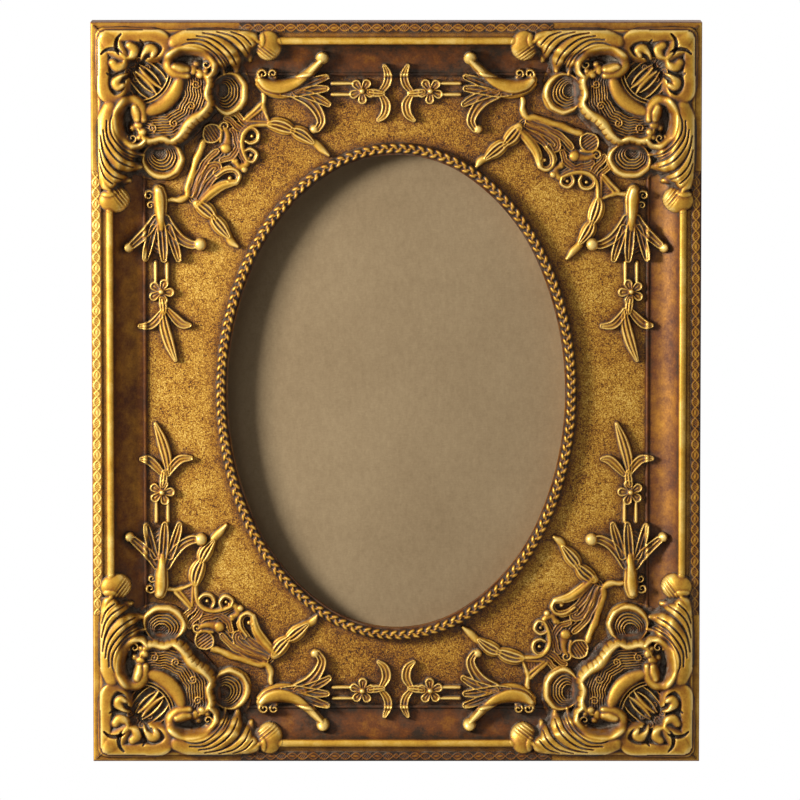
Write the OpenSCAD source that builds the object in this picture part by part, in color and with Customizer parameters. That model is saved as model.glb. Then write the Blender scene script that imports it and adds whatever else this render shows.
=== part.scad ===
// Oval picture frame: four mitred mouldings round a flat panel with an oval
// opening, an applied oval bead, cast corner ornaments, lattice and lily
// castings, a backing board held by turn buttons, and two ring hangers.
// The frame hangs on a wall: the wall is the plane y = 0, the front faces -y,
// z is up, and x = 0, z = 0 is the middle of the frame.

/* [Overall size] */
// outer width of the frame
frame_w = 500; // [400:1:620]
// outer height of the frame
frame_h = 610; // [500:1:740]
// width of the moulding, outer edge to the panel
rail_w = 45; // [38:0.5:52]
// height of the moulding's carved outer band above the wall
band_top = 38; // [34:0.5:44]

/* [Moulding] */
// width of the carved outer band
band_w = 8.7; // [6:0.1:11]
// bevel at the outer front edge
band_bevel = 1.5; // [0.5:0.1:3]
// how far the flat beside the band lies below its top
flat_drop = 1.2; // [0.5:0.1:3]
// distance of the round bead's centre from the outer edge
rail_bead_s = 15; // [13:0.1:17]
// radius of the round bead
rail_bead_r = 3.3; // [2.4:0.1:4]
// height of the round bead's centre above the wall
rail_bead_top = 37.8; // [35:0.1:41]
// width of the cove
cove_w = 24; // [18:0.5:26]
// depth of the cove
cove_depth = 13.2; // [8:0.1:14]
// radius of the small ridge at the inner edge
ridge_r = 1.6; // [1:0.1:2]
// how far the ridge's centre is sunk below the cove's end
ridge_sink = 0.5; // [0.3:0.1:1]
// width of the lip that covers the panel's edge
lip_w = 8; // [6:0.5:12]

/* [Panel and opening] */
// height of the panel's front face above the wall
panel_front = 22; // [18:0.5:26]
// thickness of the panel
panel_t = 15; // [10:0.5:18]
// how far the panel's tongue lies below its front face
tongue_drop = 4; // [2:0.5:6]
// gap round the panel inside the mouldings
panel_gap = 0.3; // [0.1:0.05:0.6]
// from the frame's side edge to the outer edge of the oval bead
oval_side_margin = 101.5; // [90:0.5:115]
// from the frame's top or bottom edge to the outer edge of the oval bead
oval_end_margin = 99.5; // [90:0.5:115]
// width of the oval bead
oval_bead_w = 9.6; // [8:0.1:16]
// gap between the lengths that the bead is laid in
bead_joint = 0.1; // [0.05:0.05:0.3]
// how far the bead's inner lip overhangs the panel's hole
oval_lip_over = 0.8; // [0.5:0.1:2]
// width of the bead's inner lip
oval_lip_w = 1.2; // [1:0.1:5]
// height of the bead's inner lip
oval_lip_h = 4; // [2:0.1:6]
// radius of the bead's round
oval_round_r = 4.1; // [3:0.1:6]
// height of the round's centre above the panel
oval_round_h = 2.8; // [1:0.1:4]

/* [Backing] */
// width of the picture and backing board
board_w = 300; // [240:1:340]
// height of the picture and backing board
board_h = 400; // [340:1:480]
// thickness of the backing board
board_t = 3; // [2:0.1:4]
// play of the board in its rebate, each side
board_gap = 1; // [0.5:0.1:2]

/* [Turn buttons] */
// length of a turn button from its pivot to the tip
button_long = 19; // [15:0.5:26]
// length of a turn button behind its pivot
button_short = 7; // [5:0.5:9]
// thickness of a turn button
button_t = 1.6; // [1:0.1:2.4]
// radius of a turn button's tip
button_tip_r = 4; // [3:0.1:6]
// gap between a turn button and the panel
button_gap = 0.3; // [0.2:0.05:0.6]
// radius of a turn button's hole
button_hole_r = 1.8; // [1.4:0.05:2.4]
// running clearance of the screw in that hole
pivot_gap = 0.05; // [0.01:0.01:0.1]
// distance of the pivots from the rebate's edge
pivot_back = 9; // [8:0.5:12]
// distance of the side pivots from the frame's middle
side_pivot_z = 120; // [80:1:150]

/* [Screws] */
// radius of the small screws' heads
screw_head_r = 3.2; // [2.5:0.1:4]
// height of the small screws' heads
screw_head_h = 1.4; // [1:0.1:2]
// length of the small screws in the wood
screw_len = 9; // [6:0.5:12]
// radius of the panel screws' shanks
panel_screw_r = 1.9; // [1.5:0.05:2.4]
// radius of the panel screws' heads
panel_screw_head_r = 3.6; // [3:0.1:4.5]
// depth of the countersink for the panel screws' heads
panel_screw_sink = 2.4; // [1.5:0.1:3]
// length of the panel screws
panel_screw_len = 14.4; // [12.5:0.1:15]
// distance of the panel screws from the panel's edge
panel_screw_in = 4; // [3:0.5:6]

/* [Hangers] */
// width of a hanger strap
strap_w = 14; // [10:0.5:18]
// length of a hanger strap's flat
strap_len = 33; // [30:1:36]
// thickness of a hanger strap
strap_t = 1.5; // [1:0.1:2]
// radius of the ring's wire
ring_wire_r = 1.4; // [1:0.1:2]
// radius of the ring's bow
ring_r = 13; // [12:0.5:14]
// half length of the ring's straight bar
ring_half = 13; // [12:0.5:14]
// running clearance of the ring's bar in the strap's eye
ring_gap = 0.08; // [0.03:0.01:0.1]
// height of the hangers above the frame's middle
hanger_z = 150; // [100:1:200]

/* [Corner nails] */
// length of each leg of a corner nail
nail_leg = 6; // [4:0.5:9]
// thickness of a corner nail
nail_t = 1; // [0.6:0.1:1.5]
// depth of a corner nail
nail_depth = 10; // [7:0.5:14]

/* [Ornament] */
// clear width between the two sprays on a short edge
short_spray_gap = 12.4; // [8:0.1:40]
// clear height between the two sprays on a long edge
long_spray_gap = 43.2; // [20:0.1:80]
// top of the ornament over the moulding, above the wall
crest_top = 43.5; // [41:0.1:48]
// top of the ornament's middle terrace, above the wall
mid_top = 36; // [32:0.1:39]
// top of the ornament's low plate, above the wall
low_top = 25; // [24:0.1:28]
// height of the carved strokes above their terrace
stroke_h = 2.4; // [1.5:0.1:4]
// how far a stroke is let into the terrace below it
let_in = 1; // [0.5:0.1:1.5]
// height of the lattice above the panel
lattice_h = 4.6; // [3:0.1:7]
// height of the lattice's buds above the panel
bud_h = 6.2; // [4:0.1:8]
// height of the lily's body above the panel
lily_h = 9; // [6:0.1:12]
// height of the lily's petals above the panel
petal_h = 6.4; // [4:0.1:9]
// height of the flower above the panel
flower_h = 5; // [3:0.1:7]
// height of the sprig leaves above the panel
sprig_h = 4.8; // [2:0.1:6]

// share of a stroke's height that its full width reaches
shoulder_share = 0.6; // [0.3:0.05:0.9]
// width of a stroke's crest as a share of its full width
crest_share = 0.55; // [0.3:0.05:0.8]
// radius of the shell band's ribs
shell_rib_r = 1.9; // [1.2:0.1:2.4]
// radius of the corbels at the ends of the corner castings
corbel_r = 11; // [9:0.5:13]
// height of the corbels' axis above the wall
corbel_top = 34.5; // [32:0.5:38]

/* [Hidden] */
$fn = 64;
smooth_steps = 3;
cap_steps = 5;
stroke_step = let_in / 20;
gold = [0.78, 0.58, 0.22];
board_tan = [0.50, 0.42, 0.32];
steel = [0.72, 0.72, 0.70];

half_w = frame_w / 2;
half_h = frame_h / 2;
oval_a = half_w - oval_side_margin;
oval_b = half_h - oval_end_margin;
// side of the square that ornament places are shares of: the sprays fit both edges
short_reach_share = 2.96;
long_reach_share = 3.44;
orn = min((half_w - short_spray_gap / 2) / short_reach_share,
    (half_h - long_spray_gap / 2) / long_reach_share);
panel_back = panel_front - panel_t;
tongue_top = panel_front - tongue_drop;
flat_top = band_top - flat_drop;
cove_start = rail_bead_s + rail_bead_r;
cove_end = cove_start + cove_w;
cove_low = flat_top - cove_depth;
cove_r = (cove_w * cove_w + cove_depth * cove_depth) / (2 * cove_depth);
ridge_s = rail_w - ridge_r - ridge_sink / 2;
rebate_s = rail_w - lip_w;
tall = crest_top + stroke_h + band_top;
panel_w = frame_w - 2 * (rebate_s + panel_gap);
panel_h = frame_h - 2 * (rebate_s + panel_gap);
rebate_w = board_w + 2 * board_gap;
rebate_h = board_h + 2 * board_gap;
board_front = panel_back + board_t;
button_top = panel_back - button_gap;
head_under = button_top - button_t - button_gap;
side_pivot_x = rebate_w / 2 + pivot_back;
end_pivot_z = rebate_h / 2 + pivot_back;
panel_screw_s = rebate_s + panel_gap + panel_screw_in;
pocket_half = ring_half + 2 * ring_wire_r;
eye_r = ring_wire_r + ring_gap + strap_t;
eye_s = rebate_s - eye_r - button_gap - button_gap;
ring_axis = panel_back - strap_t - button_gap - ring_wire_r;
eye_half = ring_half - 3 * ring_wire_r;
strap_end = rebate_s - strap_len + eye_r + eye_r;
strap_screw_shares = [0.21, 0.705];
side_screw_shares = [-0.36, 0.36];
nail_place_shares = [0.28, 0.62];

// turns the front view (x right, y up, z towards the viewer) to the wall frame
module upright() rotate([90, 0, 0]) children();

// mouldings
module rail_body_section() {
    difference() {
        polygon([[0, 0], [0, band_top - band_bevel], [band_bevel, band_top],
            [band_w, band_top], [band_w, flat_top], [cove_end, flat_top],
            [cove_end, cove_low], [rail_w, cove_low], [rail_w, tongue_top],
            [rebate_s, tongue_top], [rebate_s, 0]]);
        translate([cove_end, cove_low + cove_r]) circle(r = cove_r);
    }
}
module long_bar(len) rotate([0, 0, -90]) rotate([90, 0, 0])
    linear_extrude(height = len, center = true) children();
module rail_bar(len) {
    intersection() {
        union() {
            long_bar(len) rail_body_section();
            long_bar(len) translate([rail_bead_s, rail_bead_top]) circle(r = rail_bead_r);
            long_bar(len) translate([ridge_s, cove_low - ridge_sink]) circle(r = ridge_r);
        }
        linear_extrude(height = tall)
            polygon([[-len / 2, 0], [len / 2, 0], [len / 2 - rail_w, -rail_w],
                [rail_w - len / 2, -rail_w]]);
    }
}
module nail_plan() {
    for (q = nail_place_shares) translate([q * rebate_s, -q * rebate_s]) {
        translate([0, -nail_t]) square([nail_leg, nail_t]);
        translate([0, -nail_leg]) square([nail_t, nail_leg]);
    }
}
module nails_at_corner() linear_extrude(height = nail_depth) nail_plan();
module at_corner(k) {
    turns = [0, -90, -180, -270];
    x_signs = [-1, 1, 1, -1];
    y_signs = [1, 1, -1, -1];
    translate([x_signs[k] * half_w, y_signs[k] * half_h, 0])
        rotate([0, 0, turns[k]]) children();
}
module all_nails() for (k = [0 : 3]) at_corner(k) nails_at_corner();
module top_bar() translate([0, half_h, 0]) rail_bar(frame_w);
module bottom_bar() rotate([0, 0, 180]) top_bar();
module right_bar() translate([half_w, 0, 0]) rotate([0, 0, -90]) rail_bar(frame_h);
module left_bar() rotate([0, 0, 180]) right_bar();
module bars_at(k) {
    if (k == 0 || k == 1) top_bar();
    if (k == 1 || k == 2) right_bar();
    if (k == 2 || k == 3) bottom_bar();
    if (k == 3 || k == 0) left_bar();
}
module hanger_pocket_cut() {
    translate([half_w - rebate_s - lip_w, hanger_z - pocket_half, -tall])
        cube([rebate_s + lip_w - band_bevel - band_bevel, 2 * pocket_half, tall + panel_back]);
    strap_screw_holes();
}
module strap_screw_holes() for (q = strap_screw_shares)
    translate([half_w - strap_end - q * (eye_s - strap_end), hanger_z, 0])
        cylinder(r = button_hole_r, h = panel_back + screw_len);
module panel_screw_spots() {
    for (sx = [-1, 1]) for (q = side_screw_shares)
        translate([sx * (half_w - panel_screw_s), q * frame_h, 0]) children();
    for (sz = [-1, 1]) for (q = side_screw_shares)
        translate([q * frame_w, sz * (half_h - panel_screw_s), 0]) children();
}
module panel_screw() {
    translate([0, 0, panel_back])
        cylinder(r1 = panel_screw_head_r, r2 = panel_screw_r, h = panel_screw_sink);
    translate([0, 0, panel_back]) cylinder(r = panel_screw_r, h = panel_screw_len);
}
module all_panel_screws() panel_screw_spots() panel_screw();

module top_rail() color(gold) upright() difference() {
    top_bar();
    all_nails();
    all_panel_screws();
}
module bottom_rail() color(gold) upright() difference() {
    bottom_bar();
    all_nails();
    all_panel_screws();
}
module right_rail() color(gold) upright() difference() {
    right_bar();
    all_nails();
    all_panel_screws();
    hanger_pocket_cut();
}
module left_rail() color(gold) upright() difference() {
    left_bar();
    all_nails();
    all_panel_screws();
    mirror([1, 0, 0]) hanger_pocket_cut();
}
module corner_nails() color(steel) upright() all_nails();

// oval: three arcs a quarter, close to an ellipse, all edges parallel
oval_side_power = 1.8856;
oval_end_power = 0.8681;
side_r = oval_a * pow(oval_b / oval_a, oval_side_power);
end_r = oval_a / pow(oval_b / oval_a, oval_end_power);
mid_r = sqrt(side_r * end_r);
side_c = [oval_a - side_r, 0];
end_c = [0, oval_b - end_r];
centre_gap = norm(end_c - side_c);
centre_dir = (end_c - side_c) / centre_gap;
centre_run = (centre_gap * centre_gap + pow(side_r - mid_r, 2) - pow(mid_r - end_r, 2))
    / (2 * centre_gap);
centre_off = sqrt(pow(side_r - mid_r, 2) - centre_run * centre_run);
mid_c = side_c + centre_dir * centre_run + [centre_dir[1], -centre_dir[0]] * centre_off;
side_angle = atan2(mid_c[1] - side_c[1], mid_c[0] - side_c[0]);
mid_angle = atan2(end_c[1] - mid_c[1], end_c[0] - mid_c[0]);
arcs = [[side_c, side_r, 0, side_angle], [mid_c, mid_r, side_angle, mid_angle],
    [end_c, end_r, mid_angle, 90]];
arc_steps = 6;
module arc_piece(c, r, from, to) translate([c[0], c[1], 0]) rotate([0, 0, from])
    rotate_extrude(angle = to - from) translate([r, 0]) children();
// sweeps a section round the oval: x is the distance outside the bead's outer edge
module oval_sweep() {
    for (sx = [0, 1]) mirror([sx, 0, 0]) {
        arc_piece(side_c, side_r, -side_angle, side_angle) children();
        for (sy = [0, 1]) mirror([0, sy, 0])
            arc_piece(mid_c, mid_r, side_angle, mid_angle) children();
    }
    for (sy = [0, 1]) mirror([0, sy, 0])
        arc_piece(end_c, end_r, mid_angle, 180 - mid_angle) children();
}
function quarter(inset) = [for (a = arcs) for (k = [0 : arc_steps - 1])
    let (t = a[2] + (a[3] - a[2]) * k / arc_steps)
    a[0] + (a[1] - inset) * [cos(t), sin(t)]];
function flip(p, sx, sy) = [for (q = p) [sx * q[0], sy * q[1]]];
function turned(p) = [for (i = [len(p) - 1 : -1 : 0]) p[i]];
module oval_core(inset) {
    q = quarter(inset);
    polygon(concat(q, turned(flip(q, -1, 1)), flip(q, -1, -1), turned(flip(q, 1, -1))));
}
module oval_plug(inset) {
    translate([0, 0, -panel_front])
        linear_extrude(height = tall + panel_front) oval_core(inset + oval_bead_w / 2);
    oval_sweep() translate([-inset - oval_bead_w, -panel_front])
        square([oval_bead_w, tall + panel_front]);
}
module oval_panel() color(gold) upright() difference() {
    union() {
        translate([-panel_w / 2, -panel_h / 2, panel_back])
            cube([panel_w, panel_h, panel_t - tongue_drop]);
        translate([rail_w - half_w, rail_w - half_h, panel_back])
            cube([frame_w - 2 * rail_w, frame_h - 2 * rail_w, panel_t]);
    }
    oval_plug(oval_bead_w - oval_lip_over);
    translate([-rebate_w / 2, -rebate_h / 2, -tall])
        cube([rebate_w, rebate_h, tall + board_front]);
    all_panel_screws();
    all_button_screws();
}
module panel_screws() color(steel) upright() all_panel_screws();
round_c = [-(oval_bead_w - oval_lip_w) / 2, panel_front + oval_round_h];
// one length of the bead, short of its neighbours by the joint gap
module bead_length(c, r, from, to) {
    trim = bead_joint / 2 / r * 180 / PI;
    arc_piece(c, r, from + trim, to - trim) polygon([[-oval_bead_w, panel_front],
        [round_c[0] + oval_round_r, panel_front],
        [round_c[0] + oval_round_r, round_c[1]],
        [oval_lip_w - oval_bead_w, round_c[1]],
        [oval_lip_w - oval_bead_w, panel_front + oval_lip_h],
        [-oval_bead_w, panel_front + oval_lip_h]]);
    arc_piece(c, r, from + trim, to - trim) translate(round_c) intersection() {
        circle(r = oval_round_r);
        translate([-oval_round_r, -oval_round_h / 2])
            square([2 * oval_round_r, oval_round_r + oval_round_h]);
    }
}
module oval_bead() color(gold) upright() {
    for (sx = [0, 1]) mirror([sx, 0, 0]) {
        bead_length(side_c, side_r, -side_angle, side_angle);
        for (sy = [0, 1]) mirror([0, sy, 0])
            bead_length(mid_c, mid_r, side_angle, mid_angle);
    }
    for (sy = [0, 1]) mirror([0, sy, 0])
        bead_length(end_c, end_r, mid_angle, 180 - mid_angle);
}
module backing_board() color(board_tan) upright()
    translate([-board_w / 2, -board_h / 2, panel_back]) cube([board_w, board_h, board_t]);

// turn buttons: each turns on a round-headed screw in the panel's back
module button_plate() difference() {
    union() {
        translate([0, 0, head_under + button_gap]) cylinder(r = button_tip_r, h = button_t);
        translate([button_long - button_tip_r, 0, head_under + button_gap])
            cylinder(r = button_tip_r, h = button_t);
        translate([button_tip_r - button_short, 0, head_under + button_gap])
            cylinder(r = button_tip_r, h = button_t);
        translate([button_tip_r - button_short, -button_tip_r, head_under + button_gap])
            cube([button_long + button_short - 2 * button_tip_r, 2 * button_tip_r, button_t]);
    }
    cylinder(r = button_hole_r, h = tall);
}
module button_screw() {
    translate([0, 0, head_under - screw_head_h]) cylinder(r = screw_head_r, h = screw_head_h);
    translate([0, 0, head_under - screw_head_h / 2])
        cylinder(r = button_hole_r - pivot_gap, h = panel_back + screw_len - head_under);
}
module side_button_at(sx, sy) translate([sx * side_pivot_x, sy * side_pivot_z, 0])
    rotate([0, 0, 90 + sx * 90]) children();
module end_button_at(sy) translate([0, sy * end_pivot_z, 0]) rotate([0, 0, -sy * 90]) children();
module all_button_screws() {
    for (sx = [-1, 1]) for (sy = [-1, 1]) side_button_at(sx, sy) button_screw();
    for (sy = [-1, 1]) end_button_at(sy) button_screw();
}
module button_screws() color(steel) upright() all_button_screws();
module turn_button_top() color(steel) upright() end_button_at(1) button_plate();
module turn_button_bottom() color(steel) upright() end_button_at(-1) button_plate();
module turn_button_left_upper() color(steel) upright() side_button_at(-1, 1) button_plate();
module turn_button_left_lower() color(steel) upright() side_button_at(-1, -1) button_plate();
module turn_button_right_upper() color(steel) upright() side_button_at(1, 1) button_plate();
module turn_button_right_lower() color(steel) upright() side_button_at(1, -1) button_plate();

// hangers, written for the right side (seen from the front)
module strap() difference() {
    union() {
        translate([half_w - eye_s, hanger_z - strap_w / 2, panel_back - strap_t])
            cube([eye_s - strap_end, strap_w, strap_t]);
        translate([half_w - eye_s, hanger_z - eye_half, ring_axis])
            rotate([-90, 0, 0]) cylinder(r = eye_r, h = 2 * eye_half);
    }
    translate([half_w - eye_s, hanger_z - ring_half, ring_axis])
        rotate([-90, 0, 0]) cylinder(r = ring_wire_r + ring_gap, h = 2 * ring_half);
    strap_screw_holes();
}
module strap_screws() for (q = strap_screw_shares)
    translate([half_w - strap_end - q * (eye_s - strap_end), hanger_z, 0]) {
        translate([0, 0, panel_back - strap_t - screw_head_h])
            cylinder(r = screw_head_r, h = screw_head_h);
        translate([0, 0, panel_back - strap_t - screw_head_h / 2])
            cylinder(r = button_hole_r, h = strap_t + screw_head_h / 2 + screw_len);
    }
module ring() translate([half_w - eye_s, hanger_z, ring_axis]) {
    translate([0, -ring_half, 0]) rotate([-90, 0, 0])
        cylinder(r = ring_wire_r, h = 2 * ring_half);
    rotate([0, 0, 90]) rotate_extrude(angle = 180) translate([ring_r, 0])
        circle(r = ring_wire_r);
    for (sy = [-1, 1]) translate([0, sy * ring_half, 0]) sphere(r = ring_wire_r);
}
module hanger_strap_right() color(steel) upright() strap();
module hanger_strap_left() color(steel) upright() mirror([1, 0, 0]) strap();
module hanger_ring_right() color(steel) upright() ring();
module hanger_ring_left() color(steel) upright() mirror([1, 0, 0]) ring();
module hanger_screws() color(steel) upright() {
    strap_screws();
    mirror([1, 0, 0]) strap_screws();
}

// ornament: strokes are centre lines [right, down, half width], all as shares
// of the layout square, measured from the frame's outer corner
function spline(a, b, c, d, t) =
    (2 * b + (c - a) * t + (2 * a - 5 * b + 4 * c - d) * t * t
    + (3 * b - a - 3 * c + d) * t * t * t) / 2;
function last(p) = len(p) - 1;
function smooth(p) = concat(
    [for (i = [0 : last(p) - 1]) for (k = [0 : smooth_steps - 1])
        spline(p[max(i - 1, 0)], p[i], p[i + 1], p[min(i + 2, last(p))],
            k / smooth_steps)],
    [p[last(p)]]);
function placed(p, k) = [for (q = p) [q[0] * orn, -q[1] * orn, q[2] * orn * k]];
function along(p, i) =
    let (d = p[min(i + 1, last(p))] - p[max(i - 1, 0)], n = norm([d[0], d[1]]))
    [d[0] / n, d[1] / n];
function side(p, i, s) =
    let (t = along(p, i))
    [p[i][0] - s * t[1] * p[i][2], p[i][1] + s * t[0] * p[i][2]];
// round end of a stroke: s is 1 past its last point and -1 before its first
function cap(p, i, s) =
    let (t = along(p, i))
    [for (k = [1 : cap_steps - 1]) let (a = 180 * k / cap_steps)
        [p[i][0] + s * p[i][2] * (t[0] * sin(a) - t[1] * cos(a)),
        p[i][1] + s * p[i][2] * (t[1] * sin(a) + t[0] * cos(a))]];
module stroke(line_shares, k) {
    q = smooth(placed(line_shares, k));
    polygon(concat([for (i = [0 : last(q)]) side(q, i, 1)], cap(q, last(q), 1),
        [for (i = [0 : last(q)]) side(q, last(q) - i, -1)], cap(q, 0, -1)));
}
module plate(outline_shares) polygon([for (q = outline_shares) [q[0] * orn, -q[1] * orn]]);
// strokes standing on a terrace at height base: full width below, crest above
// each stroke ends one small step above the stroke before it
module relief(list, base, h) for (i = [0 : last(list)]) translate([0, 0, base - let_in]) {
    linear_extrude(height = let_in + h * shoulder_share + i * stroke_step) stroke(list[i], 1);
    linear_extrude(height = let_in + h + i * stroke_step) stroke(list[i], crest_share);
}
// round knobs that stand just clear of the plane they are given
module balls(list, base) for (q = list) translate([q[0] * orn, -q[1] * orn, base]) {
    translate([0, 0, q[2] * orn + let_in / 2]) sphere(r = q[2] * orn);
    cylinder(r = q[2] * orn * crest_share, h = q[2] * orn);
}
module both_sides() {
    children();
    mirror([1, 1, 0]) children();
}
function swapped(p) = [for (i = [len(p) - 1 : -1 : 0]) [p[i][1], p[i][0]]];
module whole_plate(half_shares) plate(concat(half_shares, swapped(half_shares)));

low_plate_shares = [[0.09, 0.09], [0.78, 0.08], [1.66, 0.12], [1.66, 0.32], [1.52, 0.42],
    [1.58, 0.58], [1.57, 0.74], [1.50, 0.87], [1.36, 0.94], [1.24, 0.92], [1.14, 1.04]];
mid_plate_shares = [[0.08, 0.08], [0.78, 0.07], [1.66, 0.12], [1.60, 0.30], [1.44, 0.40],
    [1.20, 0.40], [1.04, 0.54], [1.00, 0.76]];
crest_plate_shares = [[0.07, 0.07], [0.80, 0.055], [1.28, 0.09], [1.66, 0.13], [1.62, 0.24],
    [1.20, 0.26], [0.84, 0.34], [0.58, 0.42]];
crest_shares = [
    [[0.20, 0.10, 0.030], [0.45, 0.09, 0.034], [0.65, 0.09, 0.034], [0.78, 0.13, 0.032],
        [0.79, 0.22, 0.030], [0.72, 0.30, 0.028], [0.62, 0.31, 0.022]],
    [[0.84, 0.16, 0.028], [1.05, 0.12, 0.032], [1.30, 0.12, 0.030], [1.50, 0.14, 0.026],
        [1.62, 0.17, 0.014]],
    [[0.55, 0.37, 0.022], [0.48, 0.31, 0.026], [0.34, 0.29, 0.020]],
];
petal_shares = [[[0.13, 0.13, 0.045], [0.23, 0.23, 0.075], [0.33, 0.33, 0.035]]];
leaf_shares = [
    [[0.90, 0.36, 0.024], [0.86, 0.30, 0.028], [0.92, 0.23, 0.034], [1.02, 0.22, 0.036],
        [1.15, 0.27, 0.034], [1.27, 0.36, 0.024]],
    [[1.16, 0.22, 0.026], [1.36, 0.22, 0.032], [1.50, 0.25, 0.026], [1.57, 0.28, 0.014]],
    [[1.22, 0.32, 0.024], [1.34, 0.32, 0.026], [1.44, 0.34, 0.020], [1.49, 0.35, 0.012]],
    [[0.58, 0.44, 0.022], [0.66, 0.55, 0.026], [0.74, 0.66, 0.020]],
];
crescent_shares = [[[0.58, 0.85, 0.012], [0.70, 0.84, 0.045], [0.80, 0.80, 0.068],
    [0.84, 0.70, 0.045], [0.85, 0.58, 0.012]]];
fan_shares = [[[0.44, 0.44, 0.045], [0.55, 0.54, 0.040], [0.67, 0.66, 0.026]]];
rim_shares = [[[1.05, 0.45, 0.030], [1.14, 0.50, 0.045], [1.20, 0.60, 0.048],
    [1.20, 0.73, 0.046], [1.16, 0.86, 0.048], [1.08, 0.97, 0.046], [1.01, 1.03, 0.044]]];
side_shell_shares = [
    [[1.42, 0.49, 0.026], [1.52, 0.54, 0.034], [1.55, 0.67, 0.034], [1.50, 0.81, 0.034],
        [1.40, 0.90, 0.028], [1.27, 0.90, 0.026]],
    [[1.32, 0.57, 0.020], [1.42, 0.62, 0.022], [1.43, 0.73, 0.022], [1.36, 0.81, 0.020],
        [1.27, 0.79, 0.018]],
];
crest_ball_shares = [[0.41, 0.21, 0.055], [0.63, 0.215, 0.045]];
low_ball_shares = [[1.33, 0.69, 0.050], [1.04, 0.63, 0.030], [1.00, 0.81, 0.030]];
shell_c_shares = [0.50, 0.48];
shell_in_share = 0.54;
shell_out_share = 0.76;
shell_from = -98;
shell_turn = 106;
shell_ribs = 5;
corbel_shares = [1.62, 1.89];
corbel_y_share = 0.25;
module shell_band() translate([shell_c_shares[0] * orn, -shell_c_shares[1] * orn, 0])
    rotate([0, 0, shell_from]) rotate_extrude(angle = shell_turn) {
        polygon([[shell_in_share * orn, panel_front], [shell_in_share * orn, mid_top],
            [shell_out_share * orn, low_top], [shell_out_share * orn, panel_front]]);
        for (k = [1 : shell_ribs - 1]) translate([shell_in_share * orn, mid_top]
            + [(shell_out_share - shell_in_share) * orn, low_top - mid_top] * k / shell_ribs)
            circle(r = shell_rib_r);
    }
module corbel() translate([corbel_shares[0] * orn, -corbel_y_share * orn, corbel_top])
    rotate([0, 90, 0]) cylinder(r = corbel_r, h = (corbel_shares[1] - corbel_shares[0]) * orn);
module corner_relief() {
    translate([0, 0, panel_front])
        linear_extrude(height = low_top - panel_front) whole_plate(low_plate_shares);
    translate([0, 0, low_top - let_in])
        linear_extrude(height = mid_top - low_top + let_in) whole_plate(mid_plate_shares);
    translate([0, 0, mid_top - let_in])
        linear_extrude(height = crest_top - mid_top + let_in) whole_plate(crest_plate_shares);
    shell_band();
    relief(crescent_shares, mid_top, 2 * stroke_h);
    relief(fan_shares, mid_top, 2 * stroke_h);
    relief(petal_shares, crest_top, stroke_h);
    both_sides() {
        relief(crest_shares, crest_top, stroke_h);
        relief(leaf_shares, mid_top, 2 * stroke_h);
        relief(rim_shares, low_top, 2 * stroke_h);
        relief(side_shell_shares, low_top, 2 * stroke_h);
        balls(crest_ball_shares, crest_top - 2 * let_in);
        balls(low_ball_shares, low_top - let_in);
        corbel();
    }
}
module corner_casting(k) color(gold) upright() difference() {
    at_corner(k) corner_relief();
    bars_at(k);
}
module corner_casting_tl() corner_casting(0);
module corner_casting_tr() corner_casting(1);
module corner_casting_br() corner_casting(2);
module corner_casting_bl() corner_casting(3);

// lattice beside each corner casting
lattice_shares = [
    [[1.71, 0.90, 0.020], [1.73, 0.96, 0.020], [1.76, 1.02, 0.034]],
    [[2.17, 1.19, 0.025], [2.26, 1.23, 0.028], [2.34, 1.32, 0.014]],
    [[1.33, 2.11, 0.024], [1.38, 2.17, 0.028], [1.44, 2.23, 0.014]],
    [[0.84, 1.78, 0.020], [0.93, 1.77, 0.020], [1.04, 1.80, 0.034]],
    [[0.98, 1.72, 0.016], [0.98, 1.50, 0.018], [1.08, 1.22, 0.018]],
    [[1.00, 1.74, 0.016], [1.07, 1.50, 0.018], [1.16, 1.33, 0.018], [1.25, 1.28, 0.016]],
    [[1.02, 1.76, 0.016], [1.12, 1.54, 0.018], [1.24, 1.42, 0.018]],
    [[1.04, 1.77, 0.016], [1.16, 1.61, 0.018], [1.28, 1.51, 0.018], [1.40, 1.49, 0.022]],
    [[1.08, 1.22, 0.018], [1.13, 1.18, 0.018], [1.20, 1.12, 0.020]],
    [[1.35, 1.12, 0.022], [1.35, 1.21, 0.036], [1.35, 1.32, 0.020]],
    [[1.24, 1.40, 0.020], [1.36, 1.36, 0.028], [1.46, 1.25, 0.022]],
    [[1.31, 1.05, 0.018], [1.40, 1.02, 0.018], [1.47, 1.09, 0.018]],
    [[1.43, 0.97, 0.018], [1.53, 1.06, 0.018]],
    [[1.76, 1.02, 0.030], [1.68, 1.01, 0.032], [1.59, 1.06, 0.032], [1.54, 1.13, 0.026],
        [1.55, 1.19, 0.026]],
    [[1.55, 1.19, 0.024], [1.50, 1.24, 0.022], [1.44, 1.27, 0.022]],
    [[1.42, 1.37, 0.026], [1.46, 1.43, 0.028], [1.53, 1.42, 0.028], [1.56, 1.35, 0.024]],
    [[1.40, 1.49, 0.026], [1.46, 1.53, 0.028], [1.43, 1.59, 0.024]],
    [[1.43, 1.58, 0.026], [1.28, 1.65, 0.038], [1.13, 1.73, 0.038], [1.06, 1.79, 0.030]],
    [[1.43, 1.36, 0.024], [1.40, 1.42, 0.022], [1.40, 1.49, 0.022]],
];
bud_shares = [
    [[1.78, 1.03, 0.024], [1.88, 1.04, 0.056], [1.98, 1.08, 0.026]],
    [[1.98, 1.08, 0.024], [2.09, 1.12, 0.056], [2.18, 1.19, 0.024]],
    [[1.05, 1.80, 0.024], [1.15, 1.86, 0.056], [1.22, 1.94, 0.026]],
    [[1.22, 1.94, 0.024], [1.27, 2.03, 0.056], [1.34, 2.12, 0.024]],
];
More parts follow.
